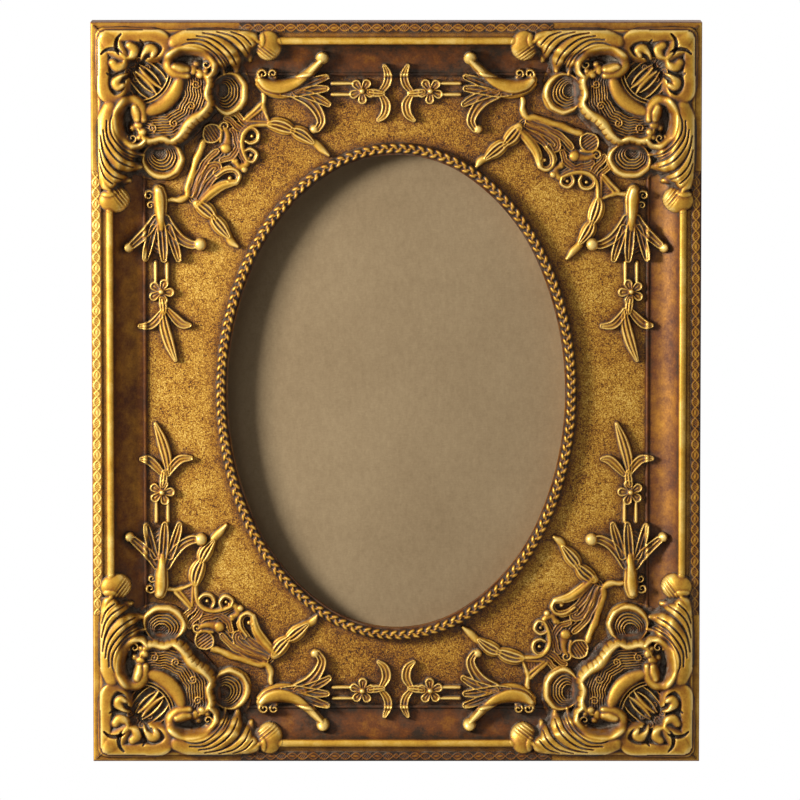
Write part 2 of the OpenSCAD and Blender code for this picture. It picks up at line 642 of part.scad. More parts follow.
lattice_ball_shares = [[1.76, 1.02, 0.045], [1.04, 1.80, 0.045], [1.55, 1.18, 0.045],
    [1.55, 1.36, 0.042], [1.43, 1.37, 0.036], [1.31, 1.05, 0.042]];
web_shares = [[1.57, 0.87], [1.78, 0.88], [1.75, 1.02]];
weave_shares = [[1.14, 1.04], [1.28, 1.04], [1.30, 1.20], [1.14, 1.20]];
module lattice(k) color(gold) upright() at_corner(k) {
    relief(lattice_shares, panel_front + let_in, lattice_h - let_in);
    relief(bud_shares, panel_front + let_in, bud_h - let_in);
    translate([0, 0, panel_front]) {
        linear_extrude(height = let_in + let_in) plate(web_shares);
        linear_extrude(height = let_in + let_in + let_in / 2) plate(weave_shares);
    }
    balls(lattice_ball_shares, panel_front);
}
module lattice_tl() lattice(0);
module lattice_tr() lattice(1);
module lattice_br() lattice(2);
module lattice_bl() lattice(3);

// lily sprays, laid out along the short edge; the long edges' sprays are the same
// head turned across the corner's diagonal, with three leaves in place of two
lily_body_shares = [[[1.70, 0.64, 0.050], [1.80, 0.67, 0.085], [1.96, 0.70, 0.105],
    [2.10, 0.70, 0.100]]];
lily_petal_shares = [
    [[2.00, 0.62, 0.060], [2.12, 0.52, 0.060], [2.24, 0.42, 0.042], [2.28, 0.38, 0.040]],
    [[2.00, 0.78, 0.060], [2.14, 0.88, 0.056], [2.22, 0.99, 0.040], [2.22, 1.07, 0.030]],
    [[2.08, 0.64, 0.040], [2.22, 0.58, 0.040], [2.34, 0.54, 0.014]],
    [[2.10, 0.69, 0.040], [2.24, 0.67, 0.040], [2.36, 0.65, 0.014]],
    [[2.08, 0.75, 0.040], [2.22, 0.78, 0.040], [2.34, 0.81, 0.014]],
];
lily_ball_shares = [[2.29, 0.36, 0.052], [2.20, 1.08, 0.044]];
stem_shares = [
    [[2.22, 0.61, 0.016], [2.46, 0.60, 0.016], [2.62, 0.66, 0.016]],
    [[2.22, 0.73, 0.016], [2.46, 0.72, 0.016], [2.62, 0.74, 0.016]],
    [[2.76, 0.72, 0.026], [2.83, 0.73, 0.030], [2.88, 0.73, 0.024]],
];
two_leaf_shares = [
    [[2.87, 0.72, 0.022], [2.94, 0.60, 0.026], [2.91, 0.45, 0.012]],
    [[2.87, 0.74, 0.022], [2.91, 0.88, 0.026], [2.85, 1.00, 0.014]],
];
three_leaf_shares = [
    [[2.88, 0.70, 0.019], [2.98, 0.63, 0.026], [3.04, 0.51, 0.018]],
    [[2.89, 0.76, 0.018], [2.99, 0.85, 0.026], [3.06, 0.97, 0.012]],
    [[2.91, 0.73, 0.021], [3.13, 0.77, 0.032], [3.42, 0.86, 0.012]],
];
sprig_axis_share = 0.73;
flower_c_shares = [2.69, 0.71];
flower_petal_share = 0.036;
flower_ring_share = 0.062;
flower_bead_share = 0.034;
flower_petals = 5;
function over(list) = [for (p = list) [for (q = p)
    [q[0], 2 * sprig_axis_share - q[1], q[2]]]];
module flower(c_shares) translate([c_shares[0] * orn, -c_shares[1] * orn, panel_front]) {
    for (k = [1 : flower_petals]) rotate([0, 0, 360 * k / flower_petals])
        translate([flower_ring_share * orn, 0, 0])
            cylinder(r = flower_petal_share * orn, h = flower_h * shoulder_share);
    cylinder(r = flower_ring_share * orn, h = flower_h * crest_share);
    cylinder(r = flower_bead_share * orn, h = flower_h);
}
module spray(leaves) {
    relief(lily_body_shares, panel_front + let_in, lily_h - let_in);
    relief(lily_petal_shares, panel_front + let_in, petal_h - let_in);
    relief(stem_shares, panel_front + let_in, sprig_h - let_in);
    relief(leaves, panel_front + let_in, sprig_h - let_in);
    balls(lily_ball_shares, panel_front);
    flower(flower_c_shares);
}
// flat-sided stand-in for a moulding, just clear of its curves, that trims the backs
cove_turn = atan2(cove_w, cove_r - cove_depth);
trim_sides = 8;
module trim_bar(len) {
    long_bar(len) polygon(concat([[0, 0], [0, tall], [rail_bead_s, tall]],
        [for (k = [0 : trim_sides]) let (a = cove_turn * (1 - k / trim_sides))
            [cove_end - cove_r * sin(a), cove_low + cove_r * (1 - cos(a))]],
        [[rail_w, cove_low], [rail_w, 0]]));
    long_bar(len) translate([ridge_s, cove_low - ridge_sink]) rotate(180 / trim_sides)
        circle(r = ridge_r / cos(180 / trim_sides), $fn = trim_sides);
}
module short_spray(sx, sy) color(gold) upright()
    mirror([sx, 0, 0]) mirror([0, sy, 0]) difference() {
        at_corner(0) spray(two_leaf_shares);
        translate([0, half_h, 0]) trim_bar(frame_w);
    }
module long_spray(sx, sy, leaves) color(gold) upright()
    mirror([sx, 0, 0]) mirror([0, sy, 0]) difference() {
        at_corner(0) mirror([1, 1, 0]) spray(leaves);
        translate([-half_w, 0, 0]) rotate([0, 0, 90]) trim_bar(frame_h);
    }
module lily_top_left() short_spray(0, 0);
module lily_top_right() short_spray(1, 0);
module lily_bottom_left() short_spray(0, 1);
module lily_bottom_right() short_spray(1, 1);
module lily_left_upper() long_spray(0, 0, three_leaf_shares);
module lily_left_lower() long_spray(0, 1, over(three_leaf_shares));
module lily_right_upper() long_spray(1, 0, over(three_leaf_shares));
module lily_right_lower() long_spray(1, 1, three_leaf_shares);

top_rail();
right_rail();
bottom_rail();
left_rail();
corner_nails();
oval_panel();
panel_screws();
oval_bead();
backing_board();
corner_casting_tl();
corner_casting_tr();
corner_casting_br();
corner_casting_bl();
lattice_tl();
lattice_tr();
lattice_br();
lattice_bl();
lily_top_left();
lily_top_right();
lily_right_upper();
lily_right_lower();
lily_bottom_right();
lily_bottom_left();
lily_left_lower();
lily_left_upper();
turn_button_top();
turn_button_bottom();
turn_button_left_upper();
turn_button_left_lower();
turn_button_right_upper();
turn_button_right_lower();
button_screws();
hanger_strap_left();
hanger_strap_right();
hanger_screws();
hanger_ring_left();
hanger_ring_right();
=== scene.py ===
"""Oval picture frame in antique gold, dressed for rendering. Blender works in metres, the named sizes are
in millimetres, and the ornament is laid out in steps."""
import math

import bmesh
import bpy
import numpy as np
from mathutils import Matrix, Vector


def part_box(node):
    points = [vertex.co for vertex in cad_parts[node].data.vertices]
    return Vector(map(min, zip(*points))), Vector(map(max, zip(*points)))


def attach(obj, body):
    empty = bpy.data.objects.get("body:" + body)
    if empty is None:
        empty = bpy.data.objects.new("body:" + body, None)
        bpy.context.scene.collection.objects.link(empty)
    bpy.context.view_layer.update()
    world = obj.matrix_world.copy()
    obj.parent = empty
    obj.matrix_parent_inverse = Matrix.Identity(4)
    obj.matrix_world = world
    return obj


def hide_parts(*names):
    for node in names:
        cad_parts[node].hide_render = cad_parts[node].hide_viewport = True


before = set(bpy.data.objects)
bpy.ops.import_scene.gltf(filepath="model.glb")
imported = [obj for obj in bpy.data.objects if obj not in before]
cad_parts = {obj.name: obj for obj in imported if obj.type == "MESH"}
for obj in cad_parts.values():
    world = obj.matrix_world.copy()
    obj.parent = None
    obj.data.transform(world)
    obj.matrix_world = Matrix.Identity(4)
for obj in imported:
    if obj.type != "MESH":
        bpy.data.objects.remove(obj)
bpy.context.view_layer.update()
MM = 0.001
RIDE = "frame"

# Sizes in millimetres. A height is measured from the wall towards the room.
HALF_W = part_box("right_rail")[1][0] / MM
HALF_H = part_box("top_rail")[1][2] / MM
PANEL_TOP = 22.0
BAND_TOP = 38.0
BAND_WIDE = 8.7
FLAT_TOP = 36.8
RAIL_BEAD_IN = 15.0
RAIL_BEAD_R = 3.3
RAIL_BEAD_AXIS = 37.8
COVE_START = 18.3
COVE_END = 42.3
COVE_R = 28.42
COVE_AXIS = 52.02
RIDGE_IN = 43.15
RIDGE_R = 1.6
RIDGE_AXIS = 23.1
RAIL_WIDE = 45.0
OVAL_A = 148.5
OVAL_B = 205.5

# The ornament is laid out in steps from the frame's outer corner. A step is one pixel of the photograph.
STEP = 0.8237
CELL = 0.6


def rail_height(inward):
    """Height of the moulding's face at a distance from the outer edge, both in millimetres."""
    h = np.full_like(inward, PANEL_TOP)
    h = np.where(inward < RAIL_WIDE, COVE_AXIS - COVE_R, h)
    cove = (inward >= COVE_START) & (inward < COVE_END)
    h = np.where(cove, COVE_AXIS - np.sqrt(np.maximum(COVE_R**2 - (COVE_END - inward) ** 2, 0)), h)
    h = np.where(inward < COVE_START, FLAT_TOP, h)
    h = np.where(inward < BAND_WIDE, BAND_TOP, h)
    rounds = ((RAIL_BEAD_IN, RAIL_BEAD_R, RAIL_BEAD_AXIS), (RIDGE_IN, RIDGE_R, RIDGE_AXIS))
    for centre, radius, axis in rounds:
        dome = axis + np.sqrt(np.maximum(radius**2 - (inward - centre) ** 2, 0))
        h = np.where(np.abs(inward - centre) < radius, np.maximum(h, dome), h)
    return h


def soften(a, cells):
    """A bell-shaped blur of an array, its radius in cells."""
    reach = max(int(3 * cells), 1)
    weights = np.exp(-0.5 * (np.arange(-reach, reach + 1) / cells) ** 2)
    weights /= weights.sum()
    for axis in (0, 1):
        pad = [(0, 0), (0, 0)]
        pad[axis] = (reach, reach)
        wide = np.pad(a, pad, mode="edge")
        size = a.shape[axis]
        a = sum(w * np.take(wide, np.arange(k, k + size), axis) for k, w in enumerate(weights))
    return a


def spline(points, between=7):
    """A smooth curve through points of any number of columns."""
    p = np.array(points, float)
    last = len(p) - 1
    out = []
    for i in range(last):
        a, b, c, d = p[max(i - 1, 0)], p[i], p[i + 1], p[min(i + 2, last)]
        for t in np.arange(between) / between:
            out.append((2 * b + (c - a) * t + (2 * a - 5 * b + 4 * c - d) * t**2
                        + (3 * b - a - 3 * c + d) * t**3) / 2)
    out.append(p[-1])
    return np.array(out)


# Cross sections of a stroke: a is from -1 to 1 across it, run is the length along it in steps
def round_top(a, run):
    return np.sqrt(np.maximum(1 - a**2, 0))


def flat_top(a, run):
    return np.maximum(1 - a**6, 0) ** 0.5


def twin(a, run):
    """A petal with a raised line round its rim and a faint vein along its middle."""
    rim = np.sqrt(np.maximum(1 - ((np.abs(a) - 0.72) / 0.28) ** 2, 0))
    floor = 0.74 * np.sqrt(np.maximum(1 - a**4, 0)) + 0.14 * np.exp(-((a / 0.16) ** 2))
    return np.maximum(rim, floor)


def swept(a, run):
    """A rounded band with a shallow groove beside its middle."""
    return round_top(a, run) * (1 - 0.30 * np.exp(-(((a - 0.35) / 0.16) ** 2)))


def bulb(a, run):
    """A full round body with a fine seam low on its flank."""
    return round_top(a, run) * (1 - 0.22 * np.exp(-(((a - 0.62) / 0.10) ** 2)))


def knots(a, run):
    """A thick roll, notched across on one flank."""
    notch = np.clip(-a, 0, 1) * np.maximum(np.cos(2 * math.pi * run / 6.2), 0) ** 2
    return round_top(a, run) * (1 - 0.45 * notch + 0.05 * np.cos(2 * math.pi * run / 17))


def veins(count, depth=0.17):
    """A leaf with lengthwise veins."""
    def section(a, run):
        flutes = 1 - depth + depth * np.abs(np.cos(count * math.pi * a / 2))
        return np.sqrt(np.maximum(1 - a**4, 0)) * flutes
    return section


def lines(count, wave):
    """Fine parallel ridges that waver along the stroke."""
    def section(a, run):
        shift = wave * np.sin(run / 3.2) + 0.6 * wave * np.sin(run / 1.7 + 1)
        ridges = np.abs(np.cos(count * math.pi * (a + shift) / 2))
        return np.maximum(1 - a**8, 0) ** 0.5 * (0.25 + 0.75 * ridges**0.8)
    return section


class Field:
    """A relief seen from the front: heights over a grid laid out in steps."""

    def __init__(self, left, top, right, bottom):
        columns = left + CELL * np.arange(int((right - left) / CELL) + 1)
        rows = top + CELL * np.arange(int((bottom - top) / CELL) + 1)
        self.left, self.top = left, top
        self.x, self.y = np.meshgrid(columns, rows)
        self.ground = rail_height(np.minimum(self.x, self.y) * STEP)
        self.base = self.ground.copy()
        self.height = self.ground.copy()
        self.inside = np.zeros(self.x.shape, bool)

    def window(self, p, reach):
        """The rows and columns that a stroke can touch."""
        low = p[:, :2].min(0) - reach
        high = p[:, :2].max(0) + reach
        j0 = max(int((low[0] - self.left) / CELL), 0)
        i0 = max(int((low[1] - self.top) / CELL), 0)
        j1 = int((high[0] - self.left) / CELL) + 2
        i1 = int((high[1] - self.top) / CELL) + 2
        return slice(i0, i1), slice(j0, j1)

    def beside(self, points):
        """For a stroke of [right, down, half width, lift]: its window, and for each grid point there
        how far across it is, how far along, and the stroke's lift."""
        p = np.array([tuple(q) + (1.0,) * (4 - len(q)) for q in points], float)
        q = spline(p)
        win = self.window(q, q[:, 2].max() + CELL)
        x, y = self.x[win], self.y[win]
        best = np.full(x.shape, 1e9)
        across, run, lift = np.zeros(x.shape), np.zeros(x.shape), np.zeros(x.shape)
        length = 0.0
        for a, b in zip(q[:-1], q[1:]):
            d = b[:2] - a[:2]
            size = float(np.hypot(*d))
            if size < 1e-6:
                continue
            t = np.clip(((x - a[0]) * d[0] + (y - a[1]) * d[1]) / size**2, 0, 1)
            px, py = x - a[0] - t * d[0], y - a[1] - t * d[1]
            wide = np.maximum(a[2] + t * (b[2] - a[2]), 0.2)
            share = np.hypot(px, py) / wide
            near = share < best
            best = np.where(near, share, best)
            across = np.where(near, share * np.sign(d[0] * py - d[1] * px), across)
            run = np.where(near, length + t * size, run)
            lift = np.where(near, a[3] + t * (b[3] - a[3]), lift)
            length += size
        return win, across, run, lift

    def put(self, win, height, where):
        self.height[win] = np.where(where, np.maximum(self.height[win], height), self.height[win])
        self.inside[win] |= where

    def stroke(self, points, rise, section=round_top):
        win, across, run, lift = self.beside(points)
        self.put(win, self.base[win] + rise * lift * section(across, run), np.abs(across) < 1)

    def carve(self, points, depth):
        """A rounded groove."""
        win, across, run, lift = self.beside(points)
        cut = depth * lift * np.maximum(1 - across**2, 0)
        self.height[win] = np.where(np.abs(across) < 1, self.height[win] - cut, self.height[win])

    def stroke_arms(self, points, rise, section=round_top):
        """The same stroke on both arms of a corner."""
        self.stroke(points, rise, section)
        self.stroke(swapped(points), rise, section)

    def carve_arms(self, points, depth):
        self.carve(points, depth)
        self.carve(swapped(points), depth)

    def ball(self, x, y, radius, rise):
        """A knob that stands on the base, its crown a rise above it."""
        d = np.hypot(self.x - x, self.y - y) / radius
        crown = self.base + rise * (0.35 + 0.65 * np.sqrt(np.maximum(1 - d**2, 0)))
        self.put(slice(None), crown, d < 1)

    def nest(self, x, y, wide, deep, focus, rise, count):
        """A shell: an oval with a broad smooth rim, wavering ridges nested about a focus, then pebbles."""
        dx, dy = (self.x - focus[0]) / wide, (self.y - focus[1]) / deep
        ox, oy = (focus[0] - x) / wide, (focus[1] - y) / deep
        square = np.maximum(dx**2 + dy**2, 1e-9)
        cross = ox * dx + oy * dy
        share = square / (np.sqrt(cross**2 + square * (1 - ox**2 - oy**2)) - cross)
        turn = np.arctan2(dy, dx)
        share *= 1 + 0.030 * np.sin(3 * turn + 1) + 0.014 * np.sin(8 * turn + 2 * np.sin(2 * turn))
        inner = 0.74
        rim = 0.58 + 0.42 * np.sin(math.pi * np.clip((share - inner) / (1 - inner), 0, 1))
        ridges = 0.20 + 0.48 * np.abs(np.cos(count * math.pi * share / inner)) ** 0.8
        pebbles = 0.24 + 0.18 * np.sin(2.3 * self.x + np.sin(1.9 * self.y)) * np.sin(2.1 * self.y)
        top = np.where(share < 0.30, pebbles, np.where(share < inner, ridges, rim))
        self.put(slice(None), self.base + rise * top, share < 1)

    def plate(self, outline):
        """Which grid points lie inside an outline."""
        p = np.array(outline, float)
        odd = np.zeros(self.x.shape, bool)
        for (x0, y0), (x1, y1) in zip(p, np.roll(p, -1, 0)):
            if y0 == y1:
                continue
            crosses = (self.y < y0) != (self.y < y1)
            odd ^= crosses & (self.x < (x1 - x0) * (self.y - y0) / (y1 - y0) + x0)
        return odd


def swapped(points):
    """The same points turned over the corner's diagonal."""
    return [(q[1], q[0]) + tuple(q[2:]) for q in points]


def whole(half):
    """A closed outline from its half on the top arm."""
    return list(half) + [(b, a) for a, b in reversed(half)]


# Corner casting: outlines of its levels, in steps; a half runs along the top arm
LOW_HALF = [(10, 10), (15, 7.5), (78, 7), (166, 8), (167, 31), (152, 43), (158, 58), (157, 74), (150, 87),
            (136, 94), (124, 92), (114, 104)]
MID_HALF = [(9, 9), (15, 7), (78, 6.5), (166, 9), (160, 30), (144, 42), (126, 44), (122, 58), (119, 72),
            (121, 84), (110, 98)]
CREST_HALF = [(9, 9), (15, 6.5), (80, 5.5), (128, 7), (168, 9), (166, 24), (136, 34), (118, 28), (90, 26),
              (80, 34), (54, 38)]
HOLLOW = [(88, 31), (100, 27), (113, 32), (119, 42), (114, 48), (94, 50)]
FAN_HALF = [(36, 38), (52, 36), (70, 42), (80, 58)]
# the height in millimetres inside each outline, later ones over earlier ones
LEVELS = [(whole(LOW_HALF), 25.0), (whole(MID_HALF), 35.0), (whole(CREST_HALF), 42.0),
          (whole(FAN_HALF), 34.0), (HOLLOW, 33.0), (swapped(HOLLOW), 33.0)]
PEBBLED_BELOW = 36.0


def casting_levels(f):
    low = f.plate(whole(LOW_HALF))
    level = f.ground
    for outline, top in LEVELS:
        level = np.where(f.plate(outline), top, level)
    soft = soften(level, 2.6 / CELL)
    f.base = np.where(low, np.maximum(soft, f.ground + 0.4), np.maximum(f.ground, soft - 3))
    f.height = np.where(low, f.base, f.ground)
    f.inside |= low


def curl(x, y, radius, start, turns=1.25, wide=0.36):
    """Points of a stroke that winds inward from its outer end, which is at a bearing in degrees."""
    points = []
    for t in np.linspace(0, 1, 12):
        r = radius * (1 - 0.82 * t)
        bearing = math.radians(start + 360 * turns * t)
        half = radius * wide * (1 - 0.35 * t)
        points.append((x + r * math.cos(bearing), y + r * math.sin(bearing), half))
    return points


def plate_and_commas(f):
    """The outer plate, curled round the second of two commas on each arm."""
    f.stroke_arms([(13, 11.5, 7), (30, 11.5, 7.4), (48, 12, 7.6), (62, 12, 7.4), (72, 16, 7),
                   (76.5, 24, 5.6), (73, 32, 4.6), (66, 37, 3.6), (58, 37, 2.6)], 3.4, flat_top)
    f.stroke([(13, 13, 7.5), (20, 20, 11.5), (28, 28, 9.5), (37, 37, 4.5)], 4.4)
    f.carve_arms([(31, 11, 0.7), (27, 16, 1.6), (26, 23, 2.2), (28.5, 29.5, 1.8), (33, 33, 0.9)], 3.4)
    f.stroke_arms([(30, 30, 2.0), (34.5, 35, 3.0), (41, 34, 4.6), (43.5, 27, 6.0), (39.5, 22.5, 5.2)], 5.0)
    f.stroke_arms([(51, 36, 1.6), (53.5, 30, 3.0), (59, 25.5, 5.6), (63.5, 27.5, 5.0), (62, 33, 3.0)], 4.8)
    f.carve_arms([(50, 17, 0.8), (53, 22, 1.4), (50.5, 28, 1.4), (47, 34, 0.8)], 2.0)


def fan_and_crescent(f):
    """Inside the casting's corner: slim curled leaves on dark ground, then a smooth crescent."""
    f.stroke_arms([(45, 49, 1.8), (53, 55, 3.2), (60, 62.5, 3.0), (65, 70, 1.6)], 4.2)
    for s in ([(49, 42, 1.1), (57, 46.5, 1.7), (65, 54, 1.8), (70, 62, 1.1)],
              [(55, 38, 1.0), (62, 42, 1.5), (71, 50, 1.6), (76, 58, 1.0)],
              [(61, 36, 1.0), (68, 40, 1.4), (76, 46.5, 1.4), (80, 53, 1.0)]):
        f.stroke_arms(s, 3.4)
    for coil in ((41, 41, 4.0, 40), (49, 37, 3.2, 120), (57, 45, 3.0, 200), (47, 51, 2.8, 10)):
        f.stroke_arms(curl(*coil), 2.8)
    centre = 48.0
    arc = [math.radians(d) for d in range(4, 87, 6)]
    for radius, wide in ((29.6, 1.3), (33.0, 1.5)):
        f.stroke([(centre + radius * math.cos(t), centre + radius * math.sin(t), wide) for t in arc], 4.4)
    f.stroke([(centre + 41.2 * math.cos(t), centre + 41.2 * math.sin(t),
               4.0 + 4.4 * math.sin(2 * t) ** 0.7) for t in arc], 6.8)


def shells(f):
    """The wavering shell band, the knotted rim round it and a nested shell on each arm."""
    band = [(103.5, 50, 12.5), (105, 63, 13), (103.5, 78, 13.5), (97, 91, 14)]
    f.stroke(band + swapped(band)[::-1], 3.8, lines(10, 0.035))
    for x, y, start in ((105, 61, 30), (100, 83, 200)):
        f.stroke_arms(curl(x, y, 4.4, start, 1.4, 0.28), 4.4)
    f.nest(138, 71.5, 19.5, 22.5, (128, 67), 5.6, 7)
    f.nest(71.5, 138, 22.5, 19.5, (67, 128), 5.6, 7)
    f.stroke_arms([(121, 53, 3.2), (124, 63, 4.6), (123, 75, 4.6), (125, 84, 3.0)], 4.4)
    rim = [(106, 47, 3), (114, 52, 4.6), (119, 60, 5.6), (117, 71, 6.0), (120, 80, 5.4), (113.5, 90, 6.2),
           (103, 96, 6.6)]
    f.stroke(rim + swapped(rim)[::-1], 7.0, knots)


# Acanthus on the top arm: smooth lobes, outermost first, and the fine grooves over them
LOBES = [
    ([(148, 10, 3.6), (160, 13, 4.4), (169, 20, 2.6)], 2.8),
    ([(132, 10.5, 4.6), (147, 13, 6.2), (158, 19, 5.8), (165, 29, 2.8)], 3.4),
    ([(112, 11, 5.4), (130, 12.5, 7.4), (146, 18, 8.0), (155, 28, 6.2), (158, 38, 3.0)], 4.0),
    ([(84, 20, 8.4), (100, 16.5, 10.8), (118, 18.5, 12.4), (133, 27, 11.4), (142, 38, 7.6),
      (144, 49, 3.4)], 5.2),
    ([(86, 27, 5.6), (97, 22.5, 6.6), (110, 23.5, 7.2), (123, 31, 6.6), (130, 42, 5.2),
      (132, 52, 3.0)], 6.2),
]
GROOVES = [
    [(88, 23.5, 0.9), (98, 20, 1.2), (110, 21, 1.3), (122, 28.5, 1.3), (130, 38, 1.3), (134.5, 50, 1.1)],
    [(97, 16.5, 0.9), (112, 17, 1.3), (125, 24.5, 1.4), (135, 35, 1.4), (140, 48, 1.1)],
    [(106, 13, 0.9), (119, 15, 1.2), (131, 22, 1.3), (140, 32, 1.4), (144.5, 42, 1.1)],
    [(112, 10, 1.0), (128, 13, 1.3), (140, 19.5, 1.4), (149, 29, 1.4), (152.5, 38, 1.1)],
    [(126, 9, 0.9), (141, 13, 1.2), (151, 21, 1.3), (156.5, 31, 1.1)],
    [(140, 9, 0.9), (152, 13.5, 1.2), (160, 22, 1.0)],
    [(92, 27.5, 0.8), (103, 26, 1.0), (115, 30, 1.1), (123, 38, 1.0)],
]
VOLUTE = [(96, 52, 5.2), (86, 50.5, 7.2), (78, 43, 7.0), (79.5, 34, 6.4), (87.5, 28.5, 6.6), (98, 27, 6.6),
          (110, 29.5, 6.2), (118.5, 35, 5.6), (123, 42, 4.8), (123, 49, 4.2), (117, 54, 3.4)]


def slimmer(points):
    return [(x, y, 0.78 * r) for x, y, r in points]


def acanthus(f):
    """On each arm, lobed leaves round a volute with a pod, lumps and a small coil in its mouth."""
    for points, rise in LOBES:
        f.stroke_arms(points, rise)
    for points in GROOVES:
        f.carve_arms(slimmer(points), 1.9)
    f.stroke_arms(VOLUTE, 8.0)
    f.stroke_arms([(84, 44, 5.8), (90, 46, 6.8), (96, 46.5, 5.2)], 9.6)
    for x, y, radius, rise in ((102, 47, 5.6, 7.8), (109, 51, 5.2, 7.4), (105, 42, 4.2, 6.0),
                               (114, 48, 3.8, 6.8)):
        f.ball(x, y, radius, rise)
        f.ball(y, x, radius, rise)
    f.stroke_arms(curl(115, 41.5, 5.4, 250, 1.2, 0.40), 6.6)


def casting():
    f = Field(3, 3, 196, 196)
    casting_levels(f)
    # pebbled ground inside the fan
    speckle = 0.5 * np.sin(f.x * 1.7 + 2 * np.sin(f.y * 1.1)) * np.sin(f.y * 1.9 + 2 * np.sin(f.x * 0.9))
    f.height += np.where(f.inside & (f.base < PEBBLED_BELOW), speckle, 0)
    plate_and_commas(f)
    fan_and_crescent(f)
    shells(f)
    acanthus(f)
    corbels(f)
    return f


CORBEL = (176.5, 23.0)
CORBEL_WIDE = 13.5
CORBEL_DEEP = 15.5
CORBEL_TOP = 45.0


def corbels(f):
    """Knobs over the moulding where the castings end: a small lobe on one flank, slanting ribs below."""
    for along, inward in ((f.x, f.y), (f.y, f.x)):
        a = (along - CORBEL[0]) / CORBEL_WIDE
        b = (inward - CORBEL[1]) / CORBEL_DEEP
        d = np.sqrt(a**2 + b**2)
        knob = CORBEL_TOP - 8 + 8 * np.sqrt(np.maximum(1 - d**2, 0)) - 0.18 * (inward - 12)
        ribs = np.clip((b - 0.05 - 0.5 * a) * 3, 0, 1)
        knob -= 1.3 * np.abs(np.sin(inward * 0.80 - along * 0.62)) * ribs
        lobe = ((along - 168) / 5.5) ** 2 + ((inward - 17) / 9.0) ** 2
        knob += 1.8 * np.sqrt(np.maximum(1 - lobe, 0))
        f.put(slice(None), np.maximum(knob, f.ground + 0.4), d < 1)


# Pierced lattice beside the casting, with a chain of buds each way
LATTICE_TWINS = [
    [(99, 172, 3.4), (104, 160, 3.6), (109, 148, 3.6), (116, 137, 3.4), (125, 129, 3.0)],
    [(103, 174, 2.8), (108, 161, 3.4), (114, 149, 3.6), (121, 142.5, 3.6), (127, 146, 3.2),
     (123, 151, 2.6)],
    [(107, 177, 3.0), (114, 165, 3.6), (121, 156, 3.8), (130, 149, 3.6), (139, 147, 3.2)],
    [(134, 96, 2.8), (143, 102, 3.2), (150, 109, 3.0)],
    [(142, 91, 2.8), (150, 97, 3.2), (157, 103, 3.0)],
    [(130, 138, 2.8), (139, 135, 3.4), (145, 126, 3.2), (144, 115, 3.0), (140, 108, 2.6)],
]
LATTICE_SHEAVES = [
    [(102, 176, 6.0), (110, 158, 9.0), (118, 144, 10.0), (128, 134, 8.0), (136, 122, 7.0)],
    [(132, 103, 6.0), (142, 104, 7.0), (152, 106, 6.0)],
    [(140, 118, 6.0), (142, 130, 8.0), (147, 140, 6.0)],
]
LATTICE_ROUNDS = [
    [(171.5, 72, 2.8), (171.5, 82, 3.0), (172, 90, 3.2)],
    [(169, 82, 2.4), (161, 90, 2.8), (152, 98, 2.6)],
    [(76, 178, 2.6), (86, 177.5, 3.2), (95, 174, 3.8), (97, 162, 3.8), (102, 147, 4.0), (107, 132, 4.0),
     (112, 119, 3.6)],
    [(216, 119, 3.6), (226, 123, 4.2), (236, 134, 2.0)],
    [(133, 210, 3.6), (138, 217, 4.2), (145, 225, 2.0)],
    [(133, 107, 3.0), (136, 117, 4.8), (134, 126, 5.6)],
    [(142, 139, 3.2), (147, 144, 4.0), (153, 143, 3.8), (157, 136, 3.0)],
    [(126, 104, 2.2), (130, 112, 2.6), (128, 120, 2.2)],
]
LATTICE_SCROLLS = [
    [(178, 102, 3.6), (168, 102, 4.2), (158, 104, 4.6), (151, 111, 4.8), (149, 121, 4.8), (151, 131, 4.6),
     (154, 138, 3.6)],
    [(154, 108, 2.8), (161, 106, 2.8), (166, 111, 2.8), (165, 118, 2.8), (159, 121, 2.6), (154, 119, 2.2)],
    [(153, 129, 2.8), (159, 127, 2.8), (164.5, 132, 2.8), (161, 139, 2.6), (155, 138, 2.2)],
    [(125, 154, 3.2), (134, 148, 3.8), (143, 148, 4.0), (147, 154, 3.6), (143, 161, 3.0), (136, 159, 2.6)],
]
LATTICE_STEM = [(144, 160, 3.6), (131, 163, 5.4), (121, 169, 6.0), (113, 176, 5.4), (106, 183, 4.6)]
LATTICE_BUDS = [
    [(178, 102, 4.4), (184, 102.5, 7.0), (191, 104.5, 7.6), (197, 107, 5.8), (202, 109, 3.0)],
    [(200, 108, 3.4), (205, 110, 6.4), (210, 112.5, 7.2), (215, 116, 5.6), (220, 120, 3.2)],
    [(106, 181, 4.4), (110, 184, 7.0), (115, 188, 7.6), (119, 192, 5.8), (123, 196, 3.0)],
    [(121, 194, 3.4), (124, 199, 6.4), (128, 204, 7.2), (132, 209, 5.6), (136, 214, 3.2)],
]
LATTICE_PLATE = [(171, 84), (179, 102), (153, 100)]
PLATE_RIM = [(171, 86, 2.6), (177, 100, 2.6), (155, 99, 2.6), (171, 86, 2.6)]
LATTICE_WEAVE = [(111, 113), (113, 105), (120, 102), (127.5, 105), (129, 113), (124, 119.5), (115, 119.5),
                 (111, 113)]


PLUMP_MORE = 1.15
PLUMP_DRIFT = 0.6


def plumper(points):
    """The same stroke a little wider, its edge swelling and thinning along it."""
    p = spline(points, 3)
    swell = PLUMP_MORE + 0.10 * np.sin(1.9 * np.arange(len(p)))
    drift = PLUMP_DRIFT * np.sin(1.3 * np.arange(len(p)))
    return [(x + d, y - d, r * s) for (x, y, r), s, d in zip(p.tolist(), swell, drift)]


